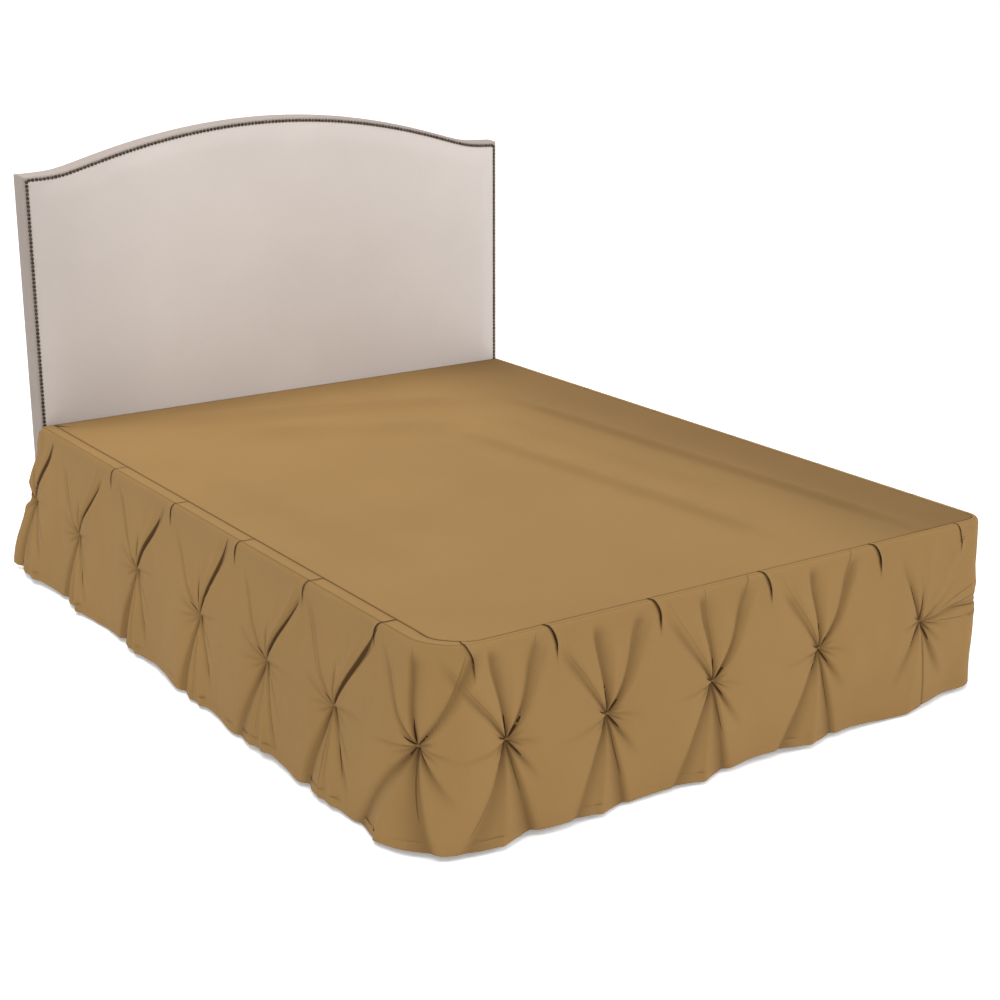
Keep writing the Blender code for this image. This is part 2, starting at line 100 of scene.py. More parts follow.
# Folds round a pinch. Angles are clockwise from straight up, near the pinch and at the end. Lengths are
# in mm. A rise below zero is a trough. Each fold has a half width on its left and on its right, which
# grow from a narrow start to the far widths given. fade is the share of its reach where it begins to
# die, and 2 lets it run on.
footFolds = (
    # angle near, angle far, reach, rise near, rise far, left, right, fade
    (-66, -52, 48, -6, -1, 3, 4, 0.5),
    (-40, -35, 205, -6, -5, 9, 8, 0.75),
    (-29, -25, 190, 1.5, 3, 8, 9, 0.7),
    (-13, -8, 200, -9, -9, 4, 20, 0.85),
    (10, 9, 180, 1, 3, 7, 9, 0.7),
    (36, 25, 232, -9, -9, 8, 15, 0.85),
    (47, 34, 232, 3, 6, 8, 8, 0.85),
    (70, 62, 42, -5, -1, 3, 4, 0.5),
    (-104, -97, 130, -2.6, -1.2, 5, 6, 0.6),
    (97, 104, 90, -2.4, -0.8, 5, 6, 0.5),
    (-128, -120, 55, -6, -1, 3, 4.5, 0.5),
    (-147, -150, 215, -9, -9, 30, 10, 2),
    (-166, -167, 215, 2.5, 8, 16, 8, 2),
    (177, 172, 215, -7, -11, 6, 30, 2),
    (150, 148, 130, -9, -2, 4, 13, 0.4),
    (122, 120, 50, -5, -0.8, 3, 4, 0.5),
)
sideFolds = (
    (-60, -52, 60, -5, -1, 2.5, 3.5, 0.5),
    (-46, -40, 215, -3.6, -3, 5, 9, 0.8),
    (-34, -30, 205, 2, 2.5, 7, 6, 0.8),
    (-78, -70, 130, -2.4, -1.4, 8, 9, 0.6),
    (-2, 2, 110, -6, -2, 3, 6, 0.5),
    (9, 6, 190, 1.5, 2, 6, 9, 0.6),
    (22, 25, 225, 4, 4, 8, 4, 0.8),
    (32, 33, 230, -8, -8, 5, 4, 0.8),
    (42, 40, 225, 1.5, 2, 4, 18, 0.7),
    (75, 82, 130, -2.4, -1, 5, 8, 0.5),
    (-100, -98, 110, -2, -1, 6, 6, 0.5),
    (-128, -122, 60, -4, -1, 4, 5, 0.5),
    (-160, -168, 215, -8, -13, 22, 11, 2),
    (178, 174, 215, 4, 5, 5, 6, 0.7),
    (166, 168, 215, -2, -2, 4, 6, 0.6),
    (157, 160, 215, 3, 7, 10, 14, 2),
    (134, 143, 190, -8, -5, 4, 13, 0.6),
    (116, 124, 130, -2.6, -1.5, 5, 8, 0.5),
    (100, 100, 90, -2.4, -1, 5, 6, 0.5),
)
# The last pinch of the foot and the one round its corner pull long ridges towards each other.
cornerFolds = {
    11: (
        (-31, -22, 200, -10, -4, 6, 12, 0.35),
        (-5, -2, 115, -6, -1, 4, 5, 0.5),
        (14, 12, 190, 1, 3, 8, 12, 0.6),
        (45, 38, 235, 3, 4.5, 8, 14, 0.8),
        (62, 55, 150, -3, -1.5, 8, 10, 0.5),
        (78, 76, 250, 3, 3, 8, 7, 0.62),
        (87, 85, 250, -4, -3, 6, 6, 0.7),
        (95, 93, 250, 2.5, 3, 6, 7, 0.62),
        (112, 104, 110, -4, -1, 4, 7, 0.5),
        (-64, -56, 42, -5, -1, 3, 4, 0.5),
        (-98, -92, 90, -3, -1, 5, 6, 0.5),
        (-145, -142, 190, -7, -4, 10, 16, 0.6),
        (-166, -166, 205, 2, 4, 14, 12, 2),
        (155, 151, 170, -9, -4, 5, 18, 0.6),
        (136, 130, 110, -6, -1, 4, 9, 0.5),
    ),
    12: (
        (-74, -80, 210, 2, 2, 7, 7, 0.8),
        (-84, -86, 210, -6, -5, 5, 6, 0.8),
        (-94, -92, 210, 2, 2, 6, 6, 0.8),
        (-104, -99, 150, -6, -3, 5, 6, 0.6),
        (-116, -106, 100, 1.5, 1, 5, 8, 0.5),
        (-150, -160, 200, -3, -5, 16, 16, 2),
        (-34, -24, 190, -5, -3, 8, 10, 0.6),
        (4, 0, 190, -6, -5, 6, 12, 0.7),
        (42, 34, 200, -7, -6, 9, 12, 0.7),
        (88, 94, 120, -3, -1, 5, 7, 0.5),
        (150, 146, 200, -6, -5, 10, 18, 2),
        (176, 176, 200, 2, 5, 10, 12, 2),
    ),
}
# Painted shade: dark lines painted deep in those folds, narrower than the mesh can show.
footLines = (
    # angle near, angle far, start, end, half width, strength
    (-14, -8, 2, 64, 2.6, 1),
    (-9, -7, 30, 200, 2, 0.4),
    (37, 34, 4, 52, 2.2, 0.95),
    (37, 24, 30, 225, 2.6, 0.35),
    (-29, -31, 20, 215, 0.9, 0.3),
    (-66, -60, 2, 30, 1.6, 0.95),
    (-146, -149, 3, 52, 2.3, 0.95),
    (-147, -149, 30, 200, 2.8, 0.35),
    (180, 173, 12, 130, 1.7, 0.7),
    (151, 147, 3, 48, 1.9, 0.95),
    (122, 120, 3, 26, 1.2, 0.55),
    (-105, -103, 3, 34, 1.2, 0.6),
    (90, 88, 3, 24, 0.9, 0.4),
)
sideLines = (
    (-62, -54, 2, 40, 1.6, 0.9),
    (-50, -40, 30, 215, 0.9, 0.28),
    (-4, 2, 2, 80, 1.3, 0.85),
    (31, 33, 3, 228, 5.6, 0.84),
    (-155, -156, 2, 60, 2.4, 0.95),
    (-164, -168, 10, 260, 13, 0.24),
    (132, 143, 3, 150, 2, 0.8),
    (118, 128, 20, 150, 0.9, 0.35),
    (170, 172, 30, 215, 0.9, 0.3),
    (96, 90, 3, 26, 1.1, 0.4),
)
cornerLines = {
    11: (
        (-34, -24, 3, 110, 2.4, 0.85),
        (-4, -2, 3, 80, 1.4, 0.8),
        (60, 55, 3, 50, 1.6, 0.8),
        (84, 81, 3, 235, 1.5, 0.55),
        (99, 96, 20, 240, 1.3, 0.5),
        (72, 72, 60, 230, 1.2, 0.35),
        (181, 180, 2, 440, 1.5, 0.9),
        (112, 106, 3, 60, 1.6, 0.6),
        (-64, -58, 2, 34, 1.6, 0.9),
        (-98, -93, 3, 34, 1.2, 0.6),
        (-144, -142, 3, 60, 2.2, 0.9),
        (156, 152, 3, 60, 2.2, 0.9),
        (136, 131, 3, 40, 1.6, 0.7),
    ),
    12: (
        (-84, -86, 3, 190, 1.5, 0.6),
        (-104, -99, 3, 110, 1.2, 0.6),
        (-34, -26, 3, 60, 2.2, 0.9),
        (4, 0, 3, 60, 2.2, 0.9),
        (42, 36, 3, 60, 2.2, 0.9),
        (-150, -158, 3, 60, 2.2, 0.9),
        (150, 146, 3, 60, 2.2, 0.9),
    ),
}
fan = {
    "start": (1.6, 0.35),    # a fold's half width at the pinch: least, and share of its own
    "widen": 0.65,           # what it gains towards its far end, as a share
    "section": 1.8,          # how square it is across
    # painted shade: how deep a trough must be to be painted fully dark, and how near the pinch the
    # painted dark gathers
    "fullDark": 7.5,         # a trough this many mm deep is fully dark
    "darkReach": 44,         # the dark gathers within this many mm of the pinch
    "near": 0.27,            # a pinch acts this far to each side
    "linesNear": 0.26,       # and its dark lines this far
    "bend": 0.6,             # a fold turns from its near angle to its far one by this power
}
# The cloth is drawn tighter, with lower folds, round the right foot corner.
foldSize = ((3.10, 1), (3.29, 0.95), (3.50, 0.40), (3.62, 0.40), (3.90, 1))
# The folds' patterns: footFolds between these places, sideFolds outside them, mirrored past the second.
footSpan = (1.9, 3.6)
creases = {"high": 0.0042, "count": 14, "seed": 91}
# Each pinch differs from its pattern by up to this: degrees for all its folds, degrees for each, then
# shares. The last two are for its dark lines.
uneven = {"turn": 3.5, "angle": 2.2, "reach": 0.10, "rise": 0.20, "width": 0.16, "seed": 700,
          "lineEnd": 0.18, "lineWide": 0.2}
pleat = {
    "half": 0.018,         # cloth taken up on each side
    "knot": 0.22,          # share of that in which it turns back under itself
    "over": 0.0065,        # how far the fold runs over the cloth beside it
    # how far down it stays folded
    "depth": ((-0.12, 0.056), (1.9, 0.060), (2.02, 0.072), (5.64, 0.070)),
    "opens": 0.25,         # share of that depth at which it begins to open
    "lift": ((-0.12, 0.0012), (1.8, 0.0014), (2.1, 0.0034), (3.2, 0.0032), (3.4, 0.0010), (5.64, 0.0008)),
    "bandLift": 0.40,      # share of the lift left on top of the bed
    # its edge bows along by this, takes the cloth within bowRun with it, and dies out past its depth
    "curve": ((-0.12, -0.024), (1.9, -0.028), (2.02, 0.022), (3.3, 0.026), (3.5, 0.008), (5.64, 0.010)),
    "bowRun": 0.080,
    "bowDies": 1.6,
    "mirrored": (2.0, 3.5),   # between these the folds lie the other way
    "groove": ((-0.12, 0.0008), (1.8, 0.0008), (2.1, 0.002), (3.2, 0.002), (3.4, 0.0007), (5.64, 0.0008)),
    # half width of the shadow painted at its edge
    "shadow": ((-0.12, 0.0012), (1.8, 0.0012), (2.1, 0.0022), (3.2, 0.0022), (3.4, 0.0012),
               (5.64, 0.0012)),
}
# Spacing of the drops' mesh: at a pinch, how it grows from there, at most, at a pleat and at an edge.
gridLines = {"near": 0.0015, "grow": 0.12, "columns": 0.0050, "rows": 0.0064, "pleat": 0.0013,
             "edge": 0.003, "up": 0.210, "down": 0.196}
hem = {"turnUp": 0.020, "apart": 0.0016, "turnRun": 0.002}
tuck = {"under": 0.006, "down": 0.0006, "run": 0.016}       # the band's sewn edge, under the deck sheet
# The band's seam and the stitches below it: widths, depth, and how dark the shade painted along them is.
sewing = {"wide": 0.0013, "deep": 0.0005, "dark": 0.95, "stitchAt": 0.30, "stitchWide": 0.05,
          "stitchDark": 0.55}
# Below these pinches the front drop hangs over its neighbour, with shade painted where it ends.
lap = {"pinches": (1, 11), "wide": 0.034, "back": 0.0036, "below": 0.004, "run": 0.150, "reach": 0.120,
       "lineWide": 0.0045, "shade": 0.85}


def ease(t):
    t = np.clip(t, 0.0, 1.0)
    return t * t * (3 - 2 * t)


def lookup(table, at):
    # value of a two-column table at some places, eased between its rows
    at = np.asarray(at, float)
    value = np.full(at.shape, float(table[0][1]))
    for (a, low), (b, high) in zip(table, table[1:]):
        value = np.where(at > a, low + (high - low) * ease((at - a) / (b - a)), value)
    return value


def edgeAt(along):
    # point on the edge of the bed, seen from above, and the way out from it
    along = np.asarray(along, float)
    none = 0 * along
    half, footY, left, right = bed["half"], bed["footY"], bed["leftCorner"], bed["rightCorner"]
    turnLeft = (along - leftRun) / left
    turnRight = (along - footEnd) / right
    where = [along <= leftRun, along <= footStart, along <= footEnd, along <= rightStart]
    x = np.select(where, [none - half, -half + left - left * np.cos(turnLeft),
                          -half + left + along - footStart,
                          half - right + right * np.sin(turnRight)], half)
    y = np.select(where, [bed["headY"] - along, footY + left - left * np.sin(turnLeft), none + footY,
                          footY + right - right * np.cos(turnRight)], footY + right + along - rightStart)
    outX = np.select(where, [none - 1, -np.cos(turnLeft), none, np.sin(turnRight)], 1.0)
    outY = np.select(where, [none, -np.sin(turnLeft), none - 1, -np.cos(turnRight)], 0.0)
    return x, y, outX, outY


def hemDepth(along):
    waves = sum(high * np.sin(along * turns * 2 * math.pi + phase)
                for high, turns, phase in hang["hemWaves"])
    return dropTop - bed["hemZ"] - waves


def freeStand(along, below):
    # how far the cloth stands out where no pinch or fold acts
    deep = below / hemDepth(along)
    puff = lookup(hang["puff"], along)
    high, turns = hang["sway"]
    flare = lookup(hang["flare"], along) + high * np.sin(along * turns * 2 * math.pi + 1.0)
    spreadOut = ease((deep - lookup(hang["flareFrom"], along)) / lookup(hang["flareRun"], along))
    return puff * ease(deep / hang["puffDepth"]) + (flare - puff * 0.7) * spreadOut


def foldsOf(index):
    # the folds of one pinch, each a little different from its pattern
    along = pinches[index][0]
    pattern = cornerFolds.get(index, footFolds if footSpan[0] <= along <= footSpan[1] else sideFolds)
    if along > footSpan[1]:
        pattern = [(-near, -far, reach, low, high, right, left, fade)
                   for near, far, reach, low, high, left, right, fade in pattern]
    draw = random.Random(uneven["seed"] + index)
    turn = uneven["turn"] * draw.uniform(-1, 1) * (index not in cornerFolds)

    def vary(value, by):
        return value * (1 + by * draw.uniform(-1, 1))

    made = []
    for near, far, reach, riseNear, riseFar, left, right, fade in pattern:
        lean = turn + uneven["angle"] * draw.uniform(-1, 1)
        wide = vary(1.0, uneven["width"])
        made.append((near + lean, far + lean, vary(reach, uneven["reach"]),
                     vary(riseNear, uneven["rise"]), vary(riseFar, uneven["rise"]),
                     left * wide, right * wide, fade))
    return made


def turnFrom(path, angle):
    # from one direction to another the shorter way round, in radians
    return (angle - path + math.pi) % (2 * math.pi) - math.pi


def sideways(r, turn):
    # how far to the side of a path a place lies that is turned from it
    return r * np.sin(np.clip(turn, -1.57, 1.57))


def fanOf(index, along, below):
    # height of the folds of one pinch, the shade painted into their troughs, and how far it draws the
    # cloth in, 0 to 1
    centre, height, _ = pinches[index]
    x = (along - centre) * 1000
    y = (dropTop - below - height) * 1000
    r = np.hypot(x, y)
    angle = np.arctan2(x, y)
    total, dark = np.zeros_like(r), np.zeros_like(r)
    size = lookup(foldSize, centre)
    least, own = fan["start"]
    for near, far, reach, riseNear, riseFar, left, right, fade in foldsOf(index):
        t = np.clip(r / reach, 0, 1)
        turn = turnFrom(np.radians(near + (far - near) * t ** fan["bend"]), angle)
        aside = sideways(r, turn)
        wide = np.where(aside < 0, left, right)
        wide = (np.minimum(least + own * wide * ease(t * 8), wide)
                + (wide * fan["widen"]) * ease(t * 1.15))
        rise = (riseNear + (riseFar - riseNear) * t) * ease(r / 6)
        if fade < 1.5:
            rise = rise * (1 - ease((r / reach - fade) / (1.12 - fade)))
        shape = ease(np.cos(turn) * 3) * np.exp(-np.abs(aside / wide) ** fan["section"])
        total += rise * shape
        tight = np.exp(-(np.minimum(left, right) * t / 9) ** 2)
        close = np.exp(-(r / fan["darkReach"]) ** 1.4)
        trough = np.clip(-rise / fan["fullDark"], 0, 1) * shape ** 1.4
        dark = np.maximum(dark, trough * (0.22 + 0.78 * close + 0.25 * tight * t))
    wellX, wellY, power = hang["well"]
    share = ((np.abs(x) / wellX) ** 2.4 + (np.abs(y) / wellY) ** 2.4) ** (1 / 2.4)
    return total * size / 1000, dark * size, np.clip(1 - share, 0, 1) ** power


def softFloor(value, floor):
    gap = value - floor
    return floor + 0.5 * (gap + np.sqrt(gap * gap + hang["soften"] ** 2))


def nearPinches(first, last):
    # numbers of the pinches that act on a panel between two of them
    return range(max(0, first - 1), min(len(pinches), last + 2))


def standOut(along, below, first, last):
    # how far the cloth stands out from flat hanging, with its folds, and the shade painted into the folds
    well, folds, dark = np.zeros_like(along), np.zeros_like(along), np.zeros_like(along)
    for index in nearPinches(first, last):
        near = np.abs(along - pinches[index][0]) < fan["near"]
        rise, shade, drawn = fanOf(index, along[near], below[near])
        folds[near] += rise
        dark[near] = np.maximum(dark[near], shade)
        well[near] = np.maximum(well[near], drawn)
    stand = freeStand(along, below) * (1 - well) + lookup(hang["pinchStand"], along) * well
    folds *= ease((below + 0.004) / 0.040)
    dark *= ease(below / 0.030)
    folds += smallCreases(along, below) * ease(below / 0.04)
    past = np.maximum(-along, along - edgeRun)
    clear = hang["headClear"] * ease((past + hang["headClear"] * 3) / (hang["headClear"] * 3))
    return softFloor(stand + folds, np.maximum(clear, hang["touch"])), dark


def smallCreases(along, below):
    # faint long ripples that keep the cloth from looking pressed
    draw = random.Random(creases["seed"])
    total = np.zeros_like(along)
    for _ in range(creases["count"]):
        lean = draw.gauss(0, 0.5)
        turns = draw.uniform(12, 34)
        phase = draw.uniform(0, 6.28) + 2.0 * np.sin(along * draw.uniform(5, 11) + draw.uniform(0, 6.28))
        across = along * math.cos(lean) + below * math.sin(lean)
        total += np.sin(across * turns * 2 * math.pi * 0.5 + phase) / turns
    return total * creases["high"]


def spread(low, high, most, marks):
    # places from low to high, closer together at the marks
    fine = np.linspace(low, high, 6000)
    step = np.full(fine.shape, most)
    for mark, near in marks:
        step = np.minimum(step, near + gridLines["grow"] * np.abs(fine - mark))
    count = np.concatenate([[0], np.cumsum((fine[1] - fine[0]) / step[1:])])
    return np.interp(np.linspace(0, count[-1], round(count[-1]) + 1), count, fine)


def foldPleats(pleats, u, below, path):
    # along and lift of the cloth where it is folded over itself at the top, and the shadow painted at its
    # edge
    along, lift, shade = u.copy(), np.zeros_like(u), np.zeros_like(u)
    half, knot, opens = pleat["half"], pleat["knot"], pleat["opens"]
    for place in pleats:
        inside = np.abs(u - place) < half
        side = -1 if pleat["mirrored"][0] < place < pleat["mirrored"][1] else 1
        q = (u[inside] - place) / half * side
        full = lookup(pleat["depth"], place)
        depth = np.clip(below[inside] / full, 0, 1)
        keep = 1 - ease((depth - opens) / (1 - opens))
        front = -knot * half * (1 - keep) + pleat["over"] * keep
        back = -front
        offset = np.where(q < -knot, -half + (front + half) * (q + 1) / (1 - knot),
                          np.where(q < knot, front + (back - front) * (q + knot) / (2 * knot),
                                   back + (half - back) * (q - knot) / (1 - knot)))
        along[inside] = place + offset * side
        over = np.where(q < -knot, ease((q + 1) / (1 - knot)) ** 2,
                        np.where(q < knot, 1 - 0.9 * (q + knot) / (2 * knot), 0.1))
        under = np.where(q > knot, ease((1 - q) / (1 - knot) * 1.3), 0.0)
        high, groove = lookup(pleat["lift"], place), lookup(pleat["groove"], place)
        lift[inside] = (high * over * np.where(q > knot, under, 1) - groove * under) * keep
        # painted shadow under the pleat's edge
        past = np.maximum(offset - front, 0) / lookup(pleat["shadow"], place)
        shade[inside] = keep ** 0.5 * np.where(q > -knot, np.exp(-past ** 1.6), 0.0)
        beside = np.abs(along - place) < pleat["bowRun"]
        share = 1 - ((along[beside] - place) / pleat["bowRun"]) ** 2
        deep = below[beside] / full
        run = path[beside] / (0.5 * full + bendRun)
        bow = lookup(pleat["curve"], place) * (1 - (1 - np.clip(run, 0, 1)) ** 2)
        bow += side * (pleat["over"] + knot * half) * ease((deep - opens) / (1 - opens))
        along[beside] += bow * (1 - ease((deep - 1.0) / pleat["bowDies"])) * share * share
    return along, lift, shade


def panelRows():
    # rows of the cloth from under the deck sheet to the turned-up hem: which part, how far along it
    rows = [("tuck", t) for t in (1.0, 0.5)]
    rows += [("band", t) for t in (1.0, 0.94, 0.86, 0.6, 0.34, 0.20, 0.14, 0.08)]
    rows += [("bend", t) for t in (0.0, 0.14, 0.24, 0.30, 0.36, 0.50, 0.75, 1.0)]
    fine, edge, most = gridLines["near"], gridLines["edge"], gridLines["rows"]
    up, down = gridLines["up"], gridLines["down"]
    rows += [("up", t) for t in spread(0.0, up, most, [(up, fine), (0.0, edge)])[1:] / up]
    rows += [("down", t) for t in spread(0.0, down, most, [(0.0, fine), (down, edge)])[1:] / down]
    return rows + [("turn", 0.5), ("fold", 0.0), ("fold", 0.5), ("fold", 1.0)]


def underLap(along, below, at, sign):
    # below a join the cloth behind runs on past the pinch, set back, with shade painted where the front
    # drop ends
    centre, height, _ = pinches[at]
    past = below - (dropTop - height) - lap["below"]
    deep = ease(past / lap["run"])
    near = 1 - ease(np.abs(along - centre) / lap["reach"])
    moved = along - sign * lap["wide"] * deep * near
    behind = ease((0.012 - sign * (moved - centre)) / 0.024) * ease(past / 0.02)
    # painted shade line where the front drop ends
    line = np.exp(-(np.maximum(sign * (moved - centre), 0) / lap["lineWide"]) ** 1.5) * ease(deep * 6)
    return moved, -lap["back"] * behind, lap["shade"] * line


def pick(kind, values, other):
    # one value for each vertex, by the part of the cloth it is in
    return np.select([kind == part for part in values], list(values.values()), other)


def dropPanel(name, first, last):
    starts, ends = first == 0, last == len(pinches) - 1
    low = 0.0 if starts else pinches[first][0]
    high = edgeRun if ends else pinches[last][0]
    pleats = [pinches[i][2] for i in range(first, last) if pinches[i][2]]
    marks = [(pinches[i][0], gridLines["near"]) for i in range(first, last + 1)]
    columns = spread(low, high, gridLines["columns"], marks + [(p, gridLines["pleat"]) for p in pleats])
    rows = panelRows()
    bm = bmesh.new()
    bmesh.ops.create_grid(bm, x_segments=len(rows) - 1, y_segments=len(columns) - 1, size=0.5)
    cell = np.array([v.co[:2] for v in bm.verts]) + 0.5
    row = np.rint(cell[:, 0] * (len(rows) - 1)).astype(int)
    u = columns[np.rint(cell[:, 1] * (len(columns) - 1)).astype(int)]
    kind = np.array([k for k, _ in rows])[row]
    t = np.array([s for _, s in rows])[row]

    pinchRow = lookup([(a, dropTop - height) for a, height, _ in pinches], u)
    bottom = hemDepth(u)
    hung = pick(kind, {"tuck": False, "band": False, "bend": False}, True)
    below = pick(kind, {"up": pinchRow * t, "down": pinchRow + (bottom - pinchRow) * t}, bottom) * hung
    path = pick(kind, {"tuck": 0.0, "band": 0.0, "bend": bendRun * t}, bendRun + below)
    along, lift, foldShade = foldPleats(pleats, u, below, path)
    slant = lookup(hang["endSlant"], below / hang["slantDrop"])
    if starts:
        along += (slant - low) * (1 - ease((u - low) / hang["slantRun"]))
    if ends:
        along += (edgeRun - slant - high) * (1 - ease((high - u) / hang["slantRun"]))
    setBack, lapShade = np.zeros_like(u), np.zeros_like(u)
    for at in lap["pinches"]:
        if at in (first, last) and name != "dropFront":
            along, setBack, lapShade = underLap(along, below, at, 1 if at == first else -1)

    onTop = pick(kind, {"tuck": 1.0, "band": 1.0, "bend": 1 - t}, 0.0)
    lift *= 1 + (pleat["bandLift"] - 1) * ease(onTop)
    stand, dark = standOut(along, below, first, last)
    x, y, outX, outY = edgeAt(along)
    side = bed["sideGap"] - bed["bend"]
    bandWidth = lookup(hang["band"], along)
    wideBand = ease((bandWidth - 0.008) / 0.012)
    seam = np.exp(-((1 - t) * bandWidth / (sewing["wide"] * (1 + wideBand))) ** 2)
    stitch = np.exp(-((t - sewing["stitchAt"]) / sewing["stitchWide"]) ** 2) * (0.5 + 0.5 * wideBand)
    # painted shade along the seam and the stitch line below it
    sewn = {"tuck": 0.0, "band": sewing["dark"] * seam, "bend": sewing["stitchDark"] * stitch}
    paintedShade = np.clip(pick(kind, sewn, dark), 0, 1)
    paintedShade = np.maximum(paintedShade, foldShade * np.where(hung, 0.95, 0.8))
    paintedShade = np.maximum(paintedShade, lapShade * hung)

    turn, apart, bend = t * math.pi / 2, hem["apart"], bed["bend"] + lift
    out = pick(kind, {"tuck": side - bandWidth - tuck["under"] * t, "band": side - bandWidth * t,
                      "bend": side + bend * np.sin(turn)}, bed["sideGap"] + stand + lift + setBack)
    out -= pick(kind, {"turn": apart / 2 * (1 - np.cos(t * math.pi)), "fold": apart}, 0.0)
    z = pick(kind, {"tuck": bed["clothZ"] - tuck["down"],
                    "band": bed["clothZ"] + lift - sewing["deep"] * seam,
                    "bend": dropTop + bend * np.cos(turn)}, dropTop - below)
    z += pick(kind, {"turn": -apart / 2 * np.sin(t * math.pi), "fold": hem["turnUp"] * t}, 0.0)
    places = np.stack([x + outX * out, y + outY * out, z], axis=1)
    run, turned = tuck["run"], hem["turnRun"]
    drop = pick(kind, {"tuck": -run - bandWidth - tuck["under"] * t, "band": -run - bandWidth * t,
                       "bend": -run * (1 - t), "turn": bottom + turned * t,
                       "fold": bottom + turned + hem["turnUp"] * t}, below)
    piece = toPiece(bm, name, places)
    layCloth(piece, np.stack([u, drop], axis=1), paintedShade)
    layMap(piece, "fromHem", np.stack([u, bottom - drop], axis=1))
    layLines(piece, along, drop, first, last)
    return piece


def linesOf(index):
    # the painted shade lines of one pinch, turned like its folds
    along = pinches[index][0]
    mirrored = along > footSpan[1]
    pattern = cornerLines.get(index, footLines if footSpan[0] <= along <= footSpan[1] else sideLines)
    draw = random.Random(uneven["seed"] + index)
    turn = uneven["turn"] * draw.uniform(-1, 1) * (index not in cornerLines)
    for near, far, start, end, wide, strong in pattern:
        if mirrored:
            near, far = -near, -far
        vary = draw.uniform(-1, 1)
        end *= 1 + uneven["lineEnd"] * draw.uniform(-1, 1)
        wide *= 1 + uneven["lineWide"] * draw.uniform(-1, 1)
        yield near + turn + vary, far + turn + vary, start, end, wide, strong


def layLines(piece, along, drop, first, last):
    # for each face the nearest painted shade line, given at its corners: share of the line's length,
    # distance aside in its half widths, its strength
    mesh = piece.data
    quads = cornersOf(mesh).reshape(-1, 4)
    best = np.full(len(quads), 40.0)
    marks = np.zeros((len(quads), 4, 3))
    marks[:, :, 1] = 9
    for index in nearPinches(first, last):
        centre, height, _ = pinches[index]
        close = np.where(np.abs(along[quads[:, 0]] - centre) < fan["linesNear"])[0]
        x = (along[quads[close]] - centre) * 1000
        y = (dropTop - drop[quads[close]] - height) * 1000
        r, angle = np.hypot(x, y), np.arctan2(x, y)
        for near, far, start, end, wide, strong in linesOf(index):
            t = (r - start) / (end - start)
            path = np.radians(near + (far - near) * np.clip(t, 0, 1) ** fan["bend"])
            aside = sideways(r, turnFrom(path, angle))
            beyond = np.maximum(start - r, 0) + np.maximum(r - end, 0)
            gap = (np.abs(aside) - wide * (beyond <= 0) + beyond * 3).min(axis=1)
            nearer = gap < best[close]
            chosen = close[nearer]
            best[chosen] = gap[nearer]
            marks[chosen, :, 0] = t[nearer]
            marks[chosen, :, 1] = aside[nearer] / wide
            marks[chosen, :, 2] = strong
    layer = mesh.attributes.new("lines", "FLOAT_VECTOR", "CORNER")
    layer.data.foreach_set("vector", marks.ravel().astype(np.float32))


def cornersOf(mesh):
    # the vertex at each face corner
    corner = np.zeros(len(mesh.loops), int)
    mesh.loops.foreach_get("vertex_index", corner)
    return corner


def layMap(piece, name, places):
    # a UV map from one place for each vertex
    layer = piece.data.uv_layers.new(name=name)
    layer.data.foreach_set("uv", places[cornersOf(piece.data)].ravel().astype(np.float32))


def layCloth(piece, places, paintedShade):
    # its UV map, and the shade painted into its colour where little light falls
    layMap(piece, "cloth", places)
    mark = piece.data.attributes.new("paintedShade", "FLOAT", "POINT")
    mark.data.foreach_set("value", np.asarray(paintedShade, np.float32))


def toScene(name, data):
    made = bpy.data.objects.new(name, data)
    bpy.context.scene.collection.objects.link(made)
    return made


def toPiece(bm, name, places=None):
    # a smooth piece from a bmesh, its vertices moved to places and its faces turned outward if given
    mesh = bpy.data.meshes.new(name)
    bm.to_mesh(mesh)
    bm.free()
    if places is not None:
        mesh.vertices.foreach_set("co", np.asarray(places, np.float32).ravel())
        mesh.update()
        outward = sum(f.normal.dot(Vector((f.center.x, f.center.y, 0.0))) * f.area for f in mesh.polygons)
        if outward < 0:
            mesh.flip_normals()
    mesh.shade_smooth()
    return toScene(name, mesh)


def dress(piece, finish, slot, *nodes):
    piece.data.materials.append(finish)
    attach(piece, "root")
    if nodes:
        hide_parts(*nodes)
    return piece


# The platform sheet, sewn to the drops along its edge.
platform = {
    "cell": 0.012,
    "lip": 0.0005,          # its edge turns down this far into the seam
    "inside": (0.0274, 0.0104),   # its sides stay this far inside the edge, left and right
    "headOver": 0.003,      # its head edge runs at most this far past the bed's
    "follow": 0.06,         # its cells follow its rim for this far
    "rightShade": 0.34,     # painted shade, darker towards the right
    "shadeFrom": 0.30,      # from here on
    "shadeRun": 0.40,
    "creaseShade": 0.13,    # and painted shade beside its creases, this far off their tops
    "shadeAside": 0.020,
    "fullCrease": 0.009,
    "creases": (
        # x1, y1, x2, y2, rise, half width
        (0.50, 0.46, 0.57, -0.92, 0.0090, 0.020),
        (0.18, 0.22, 0.26, -0.80, 0.0080, 0.028),
        (0.34, 0.40, 0.40, -0.50, 0.0040, 0.045),
        (-0.46, 0.86, 0.36, 0.60, 0.0080, 0.060),
        (-0.30, 0.62, 0.20, 0.36, 0.0060, 0.070),
        (-0.58, 0.30, -0.52, -0.52, 0.0030, 0.070),
    ),
}


def creaseHeight(x, y):
    total = np.zeros_like(x)
    for x1, y1, x2, y2, rise, wide in platform["creases"]:
        dx, dy = x2 - x1, y2 - y1
        share = ((x - x1) * dx + (y - y1) * dy) / (dx * dx + dy * dy)
        aside = np.hypot(x - x1 - dx * share, y - y1 - dy * share) / wide
        total += rise * np.exp(-aside * aside) * ease(share * 4 + 0.5) * ease((1 - share) * 4 + 0.5)
    return total


